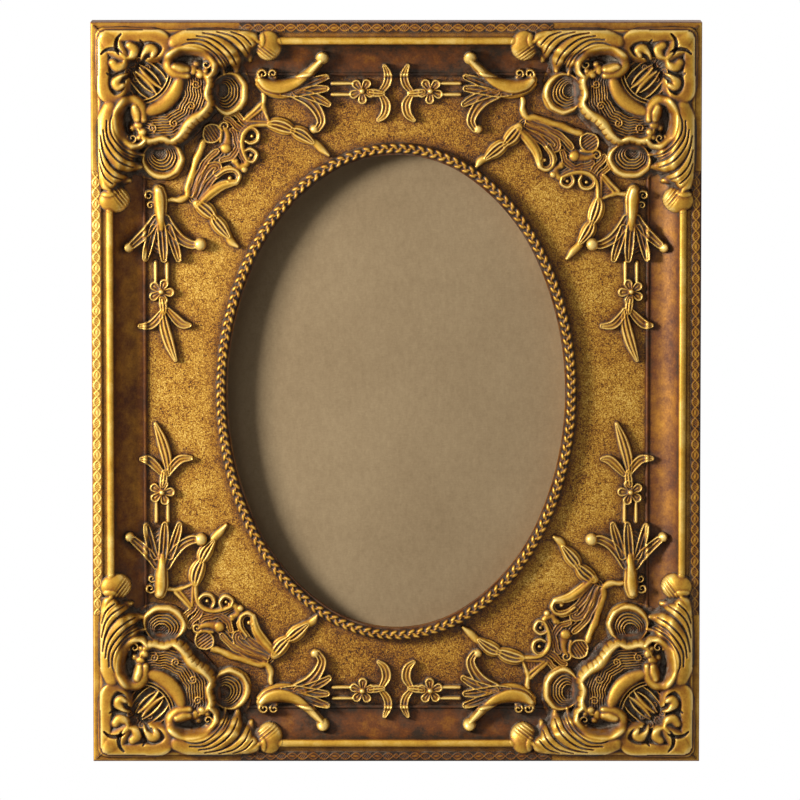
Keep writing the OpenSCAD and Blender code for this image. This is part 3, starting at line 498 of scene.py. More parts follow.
def lattice():
    f = Field(73, 69, 240, 229)
    for s in LATTICE_SHEAVES:
        f.stroke(s, 3.6, lines(5, 0.05))
    for s in LATTICE_TWINS:
        f.stroke(plumper(s), 4.6, twin)
    for s in LATTICE_ROUNDS:
        f.stroke(plumper(s), 4.8)
    for s in LATTICE_SCROLLS:
        f.stroke(s, 5.6, swept)
    f.stroke(LATTICE_STEM, 5.8, veins(2))
    for s in LATTICE_BUDS:
        f.stroke([(x, y, 1.12 * r) for x, y, r in s], 6.0, veins(4, 0.32))
    pebbles = 3.5 + 0.5 * np.sin(2.1 * f.x + np.sin(1.7 * f.y)) * np.sin(1.9 * f.y)
    f.put(slice(None), f.base + pebbles, f.plate(LATTICE_PLATE))
    for a, b in zip(PLATE_RIM[:-1], PLATE_RIM[1:]):
        f.stroke([a, b], 4.8)
    hatch = 4.0 - 1.2 * np.abs(np.sin((f.x - 0.7 * f.y) * 0.9))
    f.put(slice(None), f.base + hatch, f.plate(LATTICE_WEAVE))
    f.stroke([q + (1.5,) for q in LATTICE_WEAVE], 4.8)
    for x, y, radius, rise in ((178, 102, 4.8, 5.6), (105, 181, 4.8, 5.6), (160, 114, 2.4, 4.6),
                               (159, 133, 2.4, 4.6), (144, 139, 3.4, 5.0), (152, 147, 4.0, 5.4),
                               (134, 126, 6.0, 6.2), (138, 156, 2.8, 4.6)):
        f.ball(x, y, radius, rise)
    f.stroke(curl(133, 104, 5.2, 120, 1.3, 0.38), 5.0)
    return f


def turned_leaf(points, over):
    """Leaves of a sprig, laid the other way over its stem where asked."""
    axis = 73
    return [(q[0], 2 * axis - q[1]) + tuple(q[2:]) for q in points] if over else points


# Lily heads, each stroke with its rise and section: one leans along the short edges, one stands upright
LEANING_HEAD = [
    ([(203, 72, 5.5), (216, 78, 6.6), (225, 88, 6.0), (229, 99, 5.0), (225, 107, 3.8)], 6.8, twin),
    ([(204, 70, 4.6), (217, 73, 5.4), (228, 77.5, 5.2), (236, 82, 3.6)], 7.4, twin),
    ([(190, 71, 3.0), (203, 71.5, 4.2), (216, 68.5, 5.4), (227, 67, 5.0), (234, 66.5, 3.6)], 7.8, twin),
    ([(204, 67, 4.2), (215, 62, 5.2), (226, 57.5, 4.8), (234, 55, 3.6)], 7.6, twin),
    ([(165, 62, 2.6), (173, 69.5, 3.2), (186, 74, 3.4), (202, 73.5, 2.8)], 5.4, round_top),
    ([(168, 58, 5.5), (176, 63.5, 9.2), (189, 66, 9.6), (203, 62, 7.8), (214, 54, 6.2), (223, 45, 5.2),
      (229, 39, 4.2)], 10.0, bulb),
]
LEANING_BALLS = [(230, 36, 6.8, 9.8), (222, 107, 4.8, 7.2)]
LEANING_COILS = [(171, 52, 5.6, 90), (181, 51.5, 5.0, 60)]
LEANING_RODS = (61.5, 72.5)
UPRIGHT_HEAD = [
    ([(190, 69, 6.0), (200, 69.5, 8.5), (209, 70, 12.5), (217, 70.5, 16.5)], 6.0, veins(9, 0.34)),
    ([(196, 74, 5.0), (207, 80, 5.8), (217, 89, 5.6), (222, 99, 5.0), (222, 106, 3.8)], 7.0, twin),
    ([(196, 64, 5.0), (206, 57.5, 5.8), (215, 49, 5.6), (222, 41, 4.6)], 7.4, twin),
    ([(205, 62, 4.2), (218, 58, 5.2), (229, 55, 5.0), (236, 53.5, 3.4)], 7.4, twin),
    ([(205, 77, 4.2), (218, 81, 5.2), (229, 84.5, 5.0), (237, 86.5, 3.4)], 7.4, twin),
    ([(198, 69, 4.6), (213, 70.5, 5.6), (227, 71.5, 5.4), (237, 72, 3.6)], 8.0, twin),
    ([(168, 67, 6.6), (176, 68, 8.4), (186, 68.5, 7.6), (196, 69, 6.4), (206, 69.5, 5.6, 0.8)], 10.0, bulb),
]
UPRIGHT_BALLS = [(222, 108, 6.6, 9.4), (225, 37, 5.2, 7.8)]
UPRIGHT_COILS = [(173, 57.5, 5.0, 90), (183, 59, 4.4, 60)]
UPRIGHT_RODS = (63.5, 75)
TWO_LEAVES = [([(288, 70, 3.0), (294, 62, 4.6), (295.5, 53, 4.4), (292, 44, 2.6)], twin),
              ([(288, 72, 3.0), (293.5, 82, 5.2), (292, 92, 4.8), (286, 98, 2.6)], twin)]
THREE_LEAVES = [([(288, 71, 3.2), (297, 65, 4.8), (303, 58, 4.8), (304, 48, 2.8)], twin),
                ([(288, 76, 3.2), (296, 83, 5.0), (302, 90, 5.0), (303, 97, 2.8)], twin),
                ([(288, 70, 3.2), (304, 72, 6.2), (322, 77, 6.0), (338, 83, 2.6)], veins(3, 0.30))]


def spray(head, balls, coils, rods, leaves, over=False):
    """Lily head with two rods, a five-lobed flower and the leaves of its sprig."""
    f = Field(158, 24, 346, 118)
    f.base = np.maximum(f.ground, PANEL_TOP)
    for points, rise, section in head:
        f.stroke(points, rise, section)
    for x, y, radius, rise in balls:
        f.ball(x, y, radius, rise)
    for x, y, radius, start in coils:
        f.stroke(curl(x, y, radius, start, 1.3, 0.42), 6.6)
    for inward in rods:
        f.stroke([(240, inward, 2.7), (250, inward, 2.5), (261, inward, 2.3)], 4.8)
    flower_x, flower_y = 269.5, 69.0
    for k in range(5):
        t = 2 * math.pi * (k + 0.2) / 5
        x, y = math.cos(t), math.sin(t)
        root = (flower_x + 3.5 * x, flower_y + 3.5 * y, 2.4)
        tip = (flower_x + 8.6 * x, flower_y + 8.6 * y, 5.2)
        f.stroke([root, tip], 5.4, twin)
    f.ball(flower_x, flower_y, 3.6, 7.2)
    f.stroke([(277, 70, 4.0), (283, 71, 5.0), (290, 71.5, 3.2)], 5.8, veins(3, 0.3))
    for points, section in leaves:
        f.stroke(turned_leaf(points, over), 5.2, section)
    return f


# height of the flat backs of the carved pieces
FIELD_BACK = 21.0


def field_mesh(f):
    """Vertices (right, down, height), quads, and how much gold shows through the patina at each vertex, from
    0 to 1.
    """
    height = np.where(f.inside, soften(f.height, 0.55), f.ground)
    near = soften(height, 1.6 / CELL)
    far = soften(height, 5.0 / CELL)
    bare_and_painted_light = np.clip(0.48 + 0.30 * (height - near) + 0.10 * (height - far), 0, 1)
    ends = (slice(None, -1), slice(1, None))
    corners = [(rows, columns) for rows in ends for columns in ends]
    cells = np.any([f.inside[k] for k in corners], 0)
    used = np.zeros(f.inside.shape, bool)
    for k in corners:
        used[k] |= cells
    height = np.where(used & ~f.inside, f.ground - 0.3, height)
    number = np.full(used.shape, -1)
    number[used] = np.arange(used.sum())
    i, j = np.nonzero(cells)
    quads = np.stack([number[i, j], number[i + 1, j], number[i + 1, j + 1], number[i, j + 1]], 1)
    points = np.stack([f.x[used] * STEP, f.y[used] * STEP, height[used]], 1)
    return points, quads, bare_and_painted_light[used]


def placed(points, mirror_x, mirror_z, swap):
    """Layout points in metres of the part's frame, mirrored from the top left; swap lays them down the
    long edge."""
    u, v, w = points.T
    if swap:
        u, v = v, u
    x, z = (-HALF_W + u) * (-1 if mirror_x else 1), (HALF_H - v) * (-1 if mirror_z else 1)
    return np.stack([x, -w, z], 1) * MM


def front_facing(points, quads):
    """The quads with their faces towards the room, which is -Y."""
    a, b, c = (points[quads[:, k]] for k in (0, 1, 2))
    turned = np.cross(b - a, c - a)[:, 1].sum() > 0
    return quads[:, ::-1] if turned else quads


def grid_quads(rows, columns, ring=False):
    """Quads between neighbours of a numbered grid; the last row of a ring meets its first."""
    number = np.arange(rows * columns).reshape(rows, columns)
    after = np.roll(number, -1, 0)
    if not ring:
        number, after = number[:-1], after[:-1]
    return np.stack([number[:, :-1], after[:, :-1], after[:, 1:], number[:, 1:]], -1).reshape(-1, 4)


def solid_relief(name, points, quads, bare_and_painted_light, sink):
    """A closed mesh: the relief's face, walls down to a flat back and the back itself."""
    quads = front_facing(points, quads)
    mesh = bpy.data.meshes.new(name)
    mesh.from_pydata(points.tolist(), [], quads.tolist())
    mesh.attributes.new("bare_and_painted_light", "FLOAT", "POINT").data.foreach_set("value", bare_and_painted_light.astype(np.float32))
    bm = bmesh.new()
    bm.from_mesh(mesh)
    layer = bm.verts.layers.float.get("bare_and_painted_light")
    rim = [e for e in bm.edges if e.is_boundary]
    walls = bmesh.ops.extrude_edge_only(bm, edges=rim)["geom"]
    low = [g for g in walls if isinstance(g, bmesh.types.BMVert)]
    for v in low:
        v.co.y = -sink * MM
        v[layer] = 0
    back = [e for e in bm.edges if e.is_boundary]
    bmesh.ops.triangle_fill(bm, edges=back, use_beauty=False, use_dissolve=False)
    bmesh.ops.recalc_face_normals(bm, faces=bm.faces)
    bm.to_mesh(mesh)
    bm.free()
    return piece(name, mesh)


def piece(name, mesh):
    mesh.shade_smooth()
    obj = bpy.data.objects.new(name, mesh)
    bpy.context.scene.collection.objects.link(obj)
    return obj


def dress_ornament():
    """The carved reliefs, which stand for the plain CAD castings, lattices and lilies."""
    made = []
    block = field_mesh(casting())
    web = field_mesh(lattice())
    for corner, where in enumerate(("tl", "tr", "br", "bl")):
        for kind, (points, quads, bare_and_painted_light) in (("casting", block), ("lattice", web)):
            node = f"corner_casting_{where}" if kind == "casting" else f"lattice_{where}"
            laid = placed(points, corner in (1, 2), corner > 1, corner % 2)
            made.append((solid_relief(f"{kind}_{where}_carved", laid, quads, bare_and_painted_light, FIELD_BACK), node))
    short = field_mesh(spray(LEANING_HEAD, LEANING_BALLS, LEANING_COILS, LEANING_RODS, TWO_LEAVES))
    upright = (UPRIGHT_HEAD, UPRIGHT_BALLS, UPRIGHT_COILS, UPRIGHT_RODS, THREE_LEAVES)
    long = field_mesh(spray(*upright))
    over = field_mesh(spray(*upright, over=True))
    plan = [("lily_top_left", short, 0, 0, False), ("lily_top_right", short, 1, 0, False),
            ("lily_bottom_left", short, 0, 1, False), ("lily_bottom_right", short, 1, 1, False),
            ("lily_left_upper", long, 0, 0, True), ("lily_left_lower", over, 0, 1, True),
            ("lily_right_upper", over, 1, 0, True), ("lily_right_lower", long, 1, 1, True)]
    for node, (points, quads, bare_and_painted_light), mx, mz, swap in plan:
        laid = placed(points, mx, mz, swap)
        made.append((solid_relief(f"{node}_carved", laid, quads, bare_and_painted_light, FIELD_BACK), node))
    for obj, node in made:
        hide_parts(node)
        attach(obj, RIDE)
    return [obj for obj, _ in made]


# Leaf carving along the outermost band of the moulding
BAND_PITCH = 17.6
BAND_RISE = 0.8
# the carving stands higher on its inner side, so that it leans outward
BAND_SLOPE = 0.4
BAND_CELL = 0.45
BAND_FROM_CORNER = 122.0
BAND_INSET = 0.25


def band_leaf(run, across):
    """Height from 0 to 1 of two vines that cross, slim leaves in their loops and slashes where they meet;
    both arguments in millimetres."""
    v = (across - BAND_WIDE / 2) / (BAND_WIDE / 2 - 0.7)
    u = run % BAND_PITCH
    loop = BAND_PITCH / 2
    high = np.full_like(v, 0.22)
    for side in (1, -1):
        vine = side * 0.74 * np.sin(math.pi * run / loop)
        high = np.maximum(high, 0.95 * np.exp(-(((v - vine) / 0.20) ** 2)))
    leaf = 1 - ((u - 0.5 * loop - 1.6 * v) / 3.6) ** 2 - (v / 0.42) ** 2
    high = np.maximum(high, 0.85 * np.sqrt(np.clip(leaf, 0, 1)))
    for start in (-1.6, 0.0, 1.6):
        slash = np.exp(-(((u - 1.5 * loop - start + 2.6 * v) / 0.42) ** 2)) * (np.abs(v) < 0.8)
        high = np.maximum(high, 0.9 * slash)
    return high * np.clip((1 - np.abs(v)) * 8, 0, 1)


def band_strip(name, least_bare_and_painted_side_light, side, upright):
    """A strip from one corner casting to the next; the second argument is how bare the gold is in its deeps,
    set per rail as painted light and shade, and side is 1 on the top and right rails and -1 on the others."""
    half, reach = (HALF_H, HALF_W) if upright else (HALF_W, HALF_H)
    across = np.arange(BAND_INSET, BAND_WIDE - BAND_INSET + 1e-6, BAND_CELL)
    s, t = np.meshgrid(across, np.linspace(-1, 1, int(2 * half / BAND_CELL)))
    along = t * (half - BAND_FROM_CORNER)
    lift = band_leaf(np.abs(along) + 0.37 * BAND_PITCH, s)
    height = BAND_TOP - 0.1 + BAND_SLOPE * s / BAND_WIDE + BAND_RISE * soften(lift, 0.7)
    # painted light and shade: the strip's least bareness is set per rail by where light falls, lightest on
    # the left rail and darkest on the bottom rail
    bare_and_painted_light = np.clip(least_bare_and_painted_side_light + 0.62 * soften(lift, 0.7), 0, 1)
    x, z = side * along, side * (reach - s)
    if upright:
        x, z = z, -x
    points = np.stack([x.ravel(), -height.ravel(), z.ravel()], 1) * MM
    obj = solid_relief(name, points, grid_quads(*s.shape), bare_and_painted_light.ravel(), BAND_TOP - 1.0)
    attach(obj, RIDE)
    return obj


def dress_bands():
    # painted light and shade in the second numbers: the left band lightest, then the right and top, the
    # bottom band darkest
    return [
        band_strip("top_band_carving", 0.10, 1, False),
        band_strip("bottom_band_carving", 0.0, -1, False),
        band_strip("left_band_carving", 0.46, -1, True),
        band_strip("right_band_carving", 0.16, 1, True),
    ]


# Braided rope round the oval, laid over the bead's round
BEAD_TOP = -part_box("oval_bead")[0][1] / MM
ROPE_IN = 4.2
ROPE_HALF = 4.4
ROPE_PITCH = 7.4
ROPE_CELL = 0.5
ROPE_DEEP = 4.2
ROPE_RISE = 1.7


def oval_point(t, inward):
    """A point a distance inside the oval's outer edge, and the outward normal there."""
    x, z = OVAL_A * math.cos(t), OVAL_B * math.sin(t)
    nx, nz = math.cos(t) / OVAL_A, math.sin(t) / OVAL_B
    n = math.hypot(nx, nz)
    nx, nz = nx / n, nz / n
    return x - inward * nx, z - inward * nz, nx, nz


def oval_stations(step):
    """Angles at equal steps of length round the rope's middle."""
    fine = np.linspace(0, 2 * math.pi, 4001)
    at = np.array([oval_point(t, ROPE_IN)[:2] for t in fine])
    length = np.concatenate([[0], np.cumsum(np.hypot(*np.diff(at, axis=0).T))])
    count = round(length[-1] / step)
    return np.interp(np.arange(count) * length[-1] / count, length, fine), length[-1]


def strand(u, v, at, side, slant, half_long=3.5, half_wide=1.5):
    """One plump strand laid aslant; u counts pitches along the rope and v is from -1 to 1 across it."""
    along = (u - at) * ROPE_PITCH
    across = (v - side) * ROPE_HALF
    a = along * math.cos(slant) + across * math.sin(slant)
    b = across * math.cos(slant) - along * math.sin(slant)
    return np.sqrt(np.clip(1 - (a / half_long) ** 2 - (b / half_wide) ** 2, 0, 1))


def rope_relief(u, v):
    """Height from 0 to 1 of a braid: a row of strands each side and smaller ones along the middle."""
    high = np.zeros_like(u)
    for shift in (-1, 0, 1):
        high = np.maximum(high, strand(u, v, 0.25 + shift, 0.52, 0.40))
        high = np.maximum(high, strand(u, v, 0.75 + shift, -0.52, -0.40))
        high = np.maximum(high, 0.9 * strand(u, v, 0.50 + shift, 0.0, -0.35, 2.2, 0.9))
        high = np.maximum(high, 0.9 * strand(u, v, shift, 0.0, 0.35, 2.2, 0.9))
    return high


def dress_rope():
    """The braid as one closed ring of relief over the oval bead."""
    turns, around = oval_stations(ROPE_CELL)
    periods = round(around / ROPE_PITCH)
    across = np.arange(-1, 1.001, 0.1)
    u, v = np.meshgrid((np.arange(len(turns)) * periods / len(turns)) % 1.0, across, indexing="ij")
    lift = soften(rope_relief(u, v), 0.6)
    points = []
    for i, t in enumerate(turns):
        x, z, nx, nz = oval_point(t, ROPE_IN)
        for j, a in enumerate(across):
            side = a * ROPE_HALF
            dome = ROPE_DEEP * math.sqrt(max(1 - a**4, 0))
            w = BEAD_TOP - ROPE_DEEP + dome + ROPE_RISE * (lift[i, j] - 0.1)
            points.append(((x + nx * side) * MM, -w * MM, (z + nz * side) * MM))
    quads = grid_quads(*u.shape, ring=True)
    bare_and_painted_light = np.clip(0.08 + 0.74 * lift, 0, 1)
    obj = solid_relief("oval_rope", np.array(points), quads, bare_and_painted_light.ravel(), PANEL_TOP - 0.5)
    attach(obj, RIDE)
    return obj


# Materials
class Nodes:
    """Shorthand for building a material's nodes."""

    def __init__(self, name):
        self.material = bpy.data.materials.new(name)
        self.material.use_nodes = True
        self.tree = self.material.node_tree
        self.shader = self.tree.nodes["Principled BSDF"]

    def new(self, kind, inputs=None, **settings):
        node = self.tree.nodes.new(kind)
        for key, value in settings.items():
            setattr(node, key, value)
        for key, value in (inputs or {}).items():
            if isinstance(value, bpy.types.NodeSocket):
                self.tree.links.new(value, node.inputs[key])
            else:
                node.inputs[key].default_value = value
        return node

    def point(self, scale=(1, 1, 1)):
        """Object coordinates, stretched."""
        where = self.new("ShaderNodeTexCoord").outputs["Object"]
        return self.new("ShaderNodeMapping", {"Vector": where, "Scale": scale}).outputs["Vector"]

    def noise(self, scale, detail=4, rough=0.6, where=None):
        inputs = {"Scale": scale, "Detail": detail, "Roughness": rough, "Vector": where or self.point()}
        return self.new("ShaderNodeTexNoise", inputs).outputs["Fac"]

    def air(self, distance):
        """How open the surface is within a distance: 1 in the open, less in a hollow."""
        return self.new("ShaderNodeAmbientOcclusion", {"Distance": distance}, samples=4).outputs["AO"]

    def parts(self, vector):
        return self.new("ShaderNodeSeparateXYZ", {0: vector}).outputs

    def weigh(self, a, b, share):
        """The mean of two values, of which the first has the share."""
        return self.math("ADD", self.math("MULTIPLY", a, share), self.math("MULTIPLY", b, 1 - share))

    def math(self, operation, a, b=0.0, clamp=False):
        return self.new("ShaderNodeMath", {0: a, 1: b}, operation=operation, use_clamp=clamp).outputs[0]

    def ramp(self, fac, stops):
        node = self.new("ShaderNodeValToRGB", {"Fac": fac})
        ramp = node.color_ramp
        ramp.interpolation = "LINEAR"
        while len(ramp.elements) > 1:
            ramp.elements.remove(ramp.elements[-1])
        ramp.elements[0].position = stops[0][0]
        ramp.elements[0].color = colour(stops[0][1])
        for at, shade in stops[1:]:
            ramp.elements.new(at).color = colour(shade)
        return node.outputs["Color"]

    def span(self, value, low, high, to_low=0.0, to_high=1.0):
        inputs = {"Value": value, "From Min": low, "From Max": high, "To Min": to_low, "To Max": to_high}
        return self.new("ShaderNodeMapRange", inputs, clamp=True).outputs["Result"]

    def mix(self, fac, a, b):
        node = self.new("ShaderNodeMix", {0: fac}, data_type="RGBA")
        for socket, value in ((node.inputs[6], a), (node.inputs[7], b)):
            if isinstance(value, bpy.types.NodeSocket):
                self.tree.links.new(value, socket)
            else:
                socket.default_value = colour(value)
        return node.outputs[2]

    def wire(self, **sockets):
        for key, value in sockets.items():
            socket = self.shader.inputs[key.replace("_", " ")]
            if isinstance(value, bpy.types.NodeSocket):
                self.tree.links.new(value, socket)
            else:
                socket.default_value = value

    def bump(self, height, distance, strength):
        inputs = {"Height": height, "Distance": distance, "Strength": strength}
        self.wire(Normal=self.new("ShaderNodeBump", inputs).outputs["Normal"])


def colour(shade):
    """A grey or a red, green and blue value as a socket wants it."""
    if isinstance(shade, (int, float)):
        return (shade, shade, shade, 1.0)
    return tuple(shade) + (1.0,)


UMBER = (0.020, 0.009, 0.003)
BROWN = (0.120, 0.034, 0.005)
DEEP_GOLD = (0.30, 0.122, 0.010)
GOLD = (0.54, 0.30, 0.034)
PALE_GOLD = (0.80, 0.56, 0.17)
DUST = (0.23, 0.19, 0.14)
# how far, in metres, the patina looks round itself for hollows
NEAR_HOLLOW = 0.007
WIDE_HOLLOW = 0.020


def gilding(n, exposed_and_painted_light, dust):
    """Antique gold: the second argument runs from 0, the patina in the deeps, to 1, gold rubbed bright, and
    from some callers it also carries painted light and shade; dust is how much of it lies in the hollows."""
    mottle = n.noise(95, 5, 0.65)
    fine = n.noise(620, 3, 0.6)
    open_air = n.span(n.air(NEAR_HOLLOW), 0.25, 0.95)
    wide_air = n.air(WIDE_HOLLOW)
    # the value carries painted light and shade from some callers, along with patina and rubbed gold
    worn_and_painted_light = n.math("MULTIPLY", exposed_and_painted_light, n.span(open_air, 0, 1, 0.24, 1.0))
    worn_and_painted_light = n.math("MULTIPLY", worn_and_painted_light, n.span(wide_air, 0.45, 0.9, 0.42, 1.0))
    worn_and_painted_light = n.math("ADD", worn_and_painted_light, n.span(mottle, 0.3, 0.7, -0.10, 0.10))
    worn_and_painted_light = n.math("ADD", worn_and_painted_light, n.span(fine, 0.3, 0.7, -0.05, 0.05), clamp=True)
    base = n.ramp(worn_and_painted_light, [(0.0, UMBER), (0.20, BROWN), (0.42, DEEP_GOLD), (0.68, GOLD), (1.0, PALE_GOLD)])
    dusty = n.math("MULTIPLY", n.span(wide_air, 0.90, 0.60), n.span(n.noise(140, 4, 0.7), 0.42, 0.58))
    dusty = n.math("MULTIPLY", dusty, n.span(worn_and_painted_light, 0.50, 0.25))
    base = n.mix(n.math("MULTIPLY", dusty, dust), base, DUST)
    rubbed = n.math("ADD", worn_and_painted_light, n.span(fine, 0.3, 0.7, -0.15, 0.15))
    n.wire(Base_Color=base, Metallic=n.span(worn_and_painted_light, 0.10, 0.60, 0.05, 0.42),
           Roughness=n.span(rubbed, 0.1, 0.95, 0.58, 0.36), Specular_IOR_Level=0.25)
    n.bump(n.weigh(mottle, fine, 0.6), 0.0004, 0.5)
    return n.material


def carved_gold():
    n = Nodes("carved_gold")
    bare_and_painted_light = n.new("ShaderNodeAttribute", attribute_name="bare_and_painted_light").outputs["Fac"]
    return gilding(n, n.span(bare_and_painted_light, 0.22, 0.98), 0.6)


def from_edge(n):
    """Metres inward from the frame's outer edge, and 1 on the short rails' side of a mitre."""
    where = n.parts(n.new("ShaderNodeTexCoord").outputs["Object"])
    side = n.math("SUBTRACT", HALF_W * MM, n.math("ABSOLUTE", where["X"]))
    end = n.math("SUBTRACT", HALF_H * MM, n.math("ABSOLUTE", where["Z"]))
    return n.math("MINIMUM", side, end), n.span(n.math("SUBTRACT", side, end), -0.001, 0.001)


def bare_back(n, grain_where):
    """Bare wood in place of the gold on the faces that look back at the wall."""
    gold = [n.shader.inputs[name].links[0].from_socket for name in ("Base Color", "Metallic", "Roughness")]
    grain = n.noise(140, 6, 0.7, grain_where)
    wood = n.ramp(grain, [(0.3, (0.13, 0.065, 0.028)), (0.7, (0.27, 0.16, 0.08))])
    facing = n.parts(n.new("ShaderNodeNewGeometry").outputs["Normal"])["Y"]
    behind = n.span(facing, 0.6, 0.9)
    n.wire(Base_Color=n.mix(behind, gold[0], wood),
           Metallic=n.math("MULTIPLY", gold[1], n.math("SUBTRACT", 1.0, behind)),
           Roughness=n.math("ADD", gold[2], n.math("MULTIPLY", behind, 0.25), clamp=True))


def moulding_gold():
    """The rails: bright on the round bead, partly rubbed gold and partly painted highlight; brown in the
    cove, partly patina and partly painted shade; painted shade off the bead on the short rails; and wood
    behind."""
    n = Nodes("moulding_gold")
    inward, short = from_edge(n)
    reach = RAIL_WIDE * MM
    # Bareness across the profile, in millimetres from the outer edge. The bright band over the bead is partly
    # rubbed gold and partly painted highlight; the dark step just inside the bead and the darker ridge by the
    # panel are painted shade; the cove's brown is partly patina and partly painted shade.
    stops = [(0.0, 0.66), (8.5, 0.68), (9.0, 0.70), (11.7, 0.70), (13.2, 0.66), (15.0, 0.74), (17.2, 0.70),
             (18.0, 0.44), (18.4, 0.12), (21.0, 0.26), (30.0, 0.34), (38.0, 0.30), (41.4, 0.20), (42.6, 0.20),
             (43.8, 0.22), (44.9, 0.20)]
    share = n.math("DIVIDE", inward, reach)
    exposed_and_painted_light = n.ramp(share, [(s / RAIL_WIDE, v) for s, v in stops])
    streaks = n.noise(26, 4, 0.6)
    exposed_and_painted_light = n.math("ADD", exposed_and_painted_light, n.span(streaks, 0.3, 0.7, -0.14, 0.14), clamp=True)
    # painted shade: the short rails are darker off the bead, on the band and flat and in the cove
    off_bead = n.math("ADD", n.span(inward, 0.0130, 0.0115), n.span(inward, 0.0178, 0.0188))
    darker = n.math("MULTIPLY", n.math("MULTIPLY", off_bead, short), 0.16)
    exposed_and_painted_light = n.math("SUBTRACT", exposed_and_painted_light, darker, clamp=True)
    # the frame's outer sides are toned down
    exposed_and_painted_light = n.math("MULTIPLY", exposed_and_painted_light, n.span(inward, 0.0002, 0.0008, 0.45, 1.0))
    gilding(n, exposed_and_painted_light, 0.15)
    bare_back(n, n.point((1, 1, 0.08)))
    return n.material


def panel_gold():
    """The flat field round the oval: gold with brown speckle, and painted shade that darkens it towards the
    short rails.
    """
    n = Nodes("panel_gold")
    inward, short = from_edge(n)
    cloud = n.noise(22, 4, 0.6)
    grain = n.noise(900, 4, 0.75)
    fleck = n.noise(420, 5, 0.8)
    # painted shade: darker on the short rails' side of the panel, more so near their coves
    edge = n.math("MULTIPLY", n.span(inward, 0.046, 0.090, -0.16, 0.0), short)
    exposed_and_painted_light = n.math("ADD", n.span(cloud, 0.3, 0.7, 0.44, 0.70), edge)
    exposed_and_painted_light = n.math("SUBTRACT", exposed_and_painted_light, n.math("MULTIPLY", short, 0.10))
    exposed_and_painted_light = n.math("ADD", exposed_and_painted_light, n.span(grain, 0.35, 0.65, -0.38, 0.38))
    exposed_and_painted_light = n.math("ADD", exposed_and_painted_light, n.span(fleck, 0.50, 0.66, 0.0, -0.40), clamp=True)
    gilding(n, exposed_and_painted_light, 0.15)
    n.bump(n.weigh(grain, fleck, 0.5), 0.0006, 0.8)
    n.wire(Roughness=n.span(grain, 0.3, 0.7, 0.46, 0.62), Metallic=n.span(grain, 0.3, 0.7, 0.18, 0.26))
    bare_back(n, n.point((1, 1, 0.3)))
    return n.material


def oval_gold():
    """The bead under the rope: a smooth inner edge, and painted shade that darkens it under the strands."""
    n = Nodes("oval_gold")
    where = n.parts(n.new("ShaderNodeTexCoord").outputs["Object"])
    ring = []
    for axis, half in (("X", OVAL_A), ("Z", OVAL_B)):
        share = n.math("DIVIDE", where[axis], half * MM)
        ring.append(n.math("MULTIPLY", share, share))
    radius = n.math("SQRT", n.math("ADD", ring[0], ring[1]))
    # painted shade: the bead is darker where the strands lie over it than at its inner edge
    exposed_and_painted_light = n.ramp(n.span(radius, 0.92, 1.0), [(0.0, 0.36), (0.24, 0.36), (0.34, 0.20), (1.0, 0.20)])
    return gilding(n, exposed_and_painted_light, 0.4)


def board_card():
    """Taupe backing card: pulp flecks and a faint unevenness."""
    n = Nodes("board_card")
    pulp = n.noise(260, 6, 0.75, n.point((1, 1, 0.6)))
    cloud = n.noise(9, 3, 0.5)
    fibre = n.noise(900, 3, 0.7, n.point((0.25, 1, 1)))
    shade = n.math("ADD", n.span(pulp, 0.3, 0.7, -0.25, 0.25), n.span(cloud, 0.3, 0.7, 0.3, 0.7))
    base = n.ramp(n.math("ADD", shade, n.span(fibre, 0.3, 0.7, -0.12, 0.12), clamp=True),
                  [(0.1, (0.225, 0.158, 0.086)), (0.9, (0.330, 0.245, 0.142))])
    n.wire(Base_Color=base, Roughness=n.span(pulp, 0.3, 0.7, 0.82, 0.95), Specular_IOR_Level=0.25)
    n.bump(n.weigh(pulp, fibre, 0.6), 0.0002, 0.6)
    return n.material


def zinc_steel():
    """Zinc-plated hardware with drawn marks and a few dull spots."""
    n = Nodes("zinc_steel")
    drawn = n.noise(700, 4, 0.7, n.point((1, 1, 0.06)))
    spot = n.noise(190, 4, 0.6)
    base = n.ramp(spot, [(0.35, (0.36, 0.35, 0.32)), (0.65, (0.60, 0.60, 0.58))])
    base = n.mix(n.span(n.noise(75, 4), 0.60, 0.72, 0, 0.5), base, (0.20, 0.13, 0.07))
    n.wire(Base_Color=base, Metallic=n.span(spot, 0.3, 0.7, 0.85, 1.0),
           Roughness=n.span(drawn, 0.3, 0.7, 0.28, 0.52))
    n.bump(drawn, 0.0001, 0.4)
    return n.material


def dress_nodes():
    """Better materials for the CAD nodes that stay."""
    moulding = moulding_gold()
    single = {"oval_panel": panel_gold(), "oval_bead": oval_gold(), "backing_board": board_card()}
    steel = zinc_steel()
    for name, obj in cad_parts.items():
        material = moulding if name.endswith("_rail") else single.get(name, steel)
        for slot in obj.material_slots:
            slot.material = material
        if not obj.material_slots:
            obj.data.materials.append(material)


# Camera, light and stage
PICTURE_PX = 800
PHOTO_CENTRE_X_PX = 396.3
PHOTO_CENTRE_Y_PX = 391.5
CAMERA_FAR = 6.0
CAMERA_RISE = math.radians(6)
SENSOR_MM = 36.0
AIM_Y = -0.02
# name, direction from the frame's middle, distance and size in metres, watts, colour
LAMPS = [
    ("key", (-0.86, -0.47, 0.24), 1.5, 0.36, 44, (1.0, 0.965, 0.90)),
    ("sky", (-0.45, -0.65, 0.62), 2.8, 1.6, 9, (1.0, 0.985, 0.96)),
    ("behind", (0.45, 0.80, 0.45), 2.6, 1.4, 16, (1.0, 0.985, 0.96)),
]
ROOM_COLOUR = (1.0, 0.97, 0.93, 1)
ROOM_STRENGTH = 0.10
FLOOR_HALF = 1.6
FLOOR_LEVEL = -1.2


def aim(obj, target):
    obj.rotation_euler = (Vector(target) - obj.location).to_track_quat("-Z", "Y").to_euler()


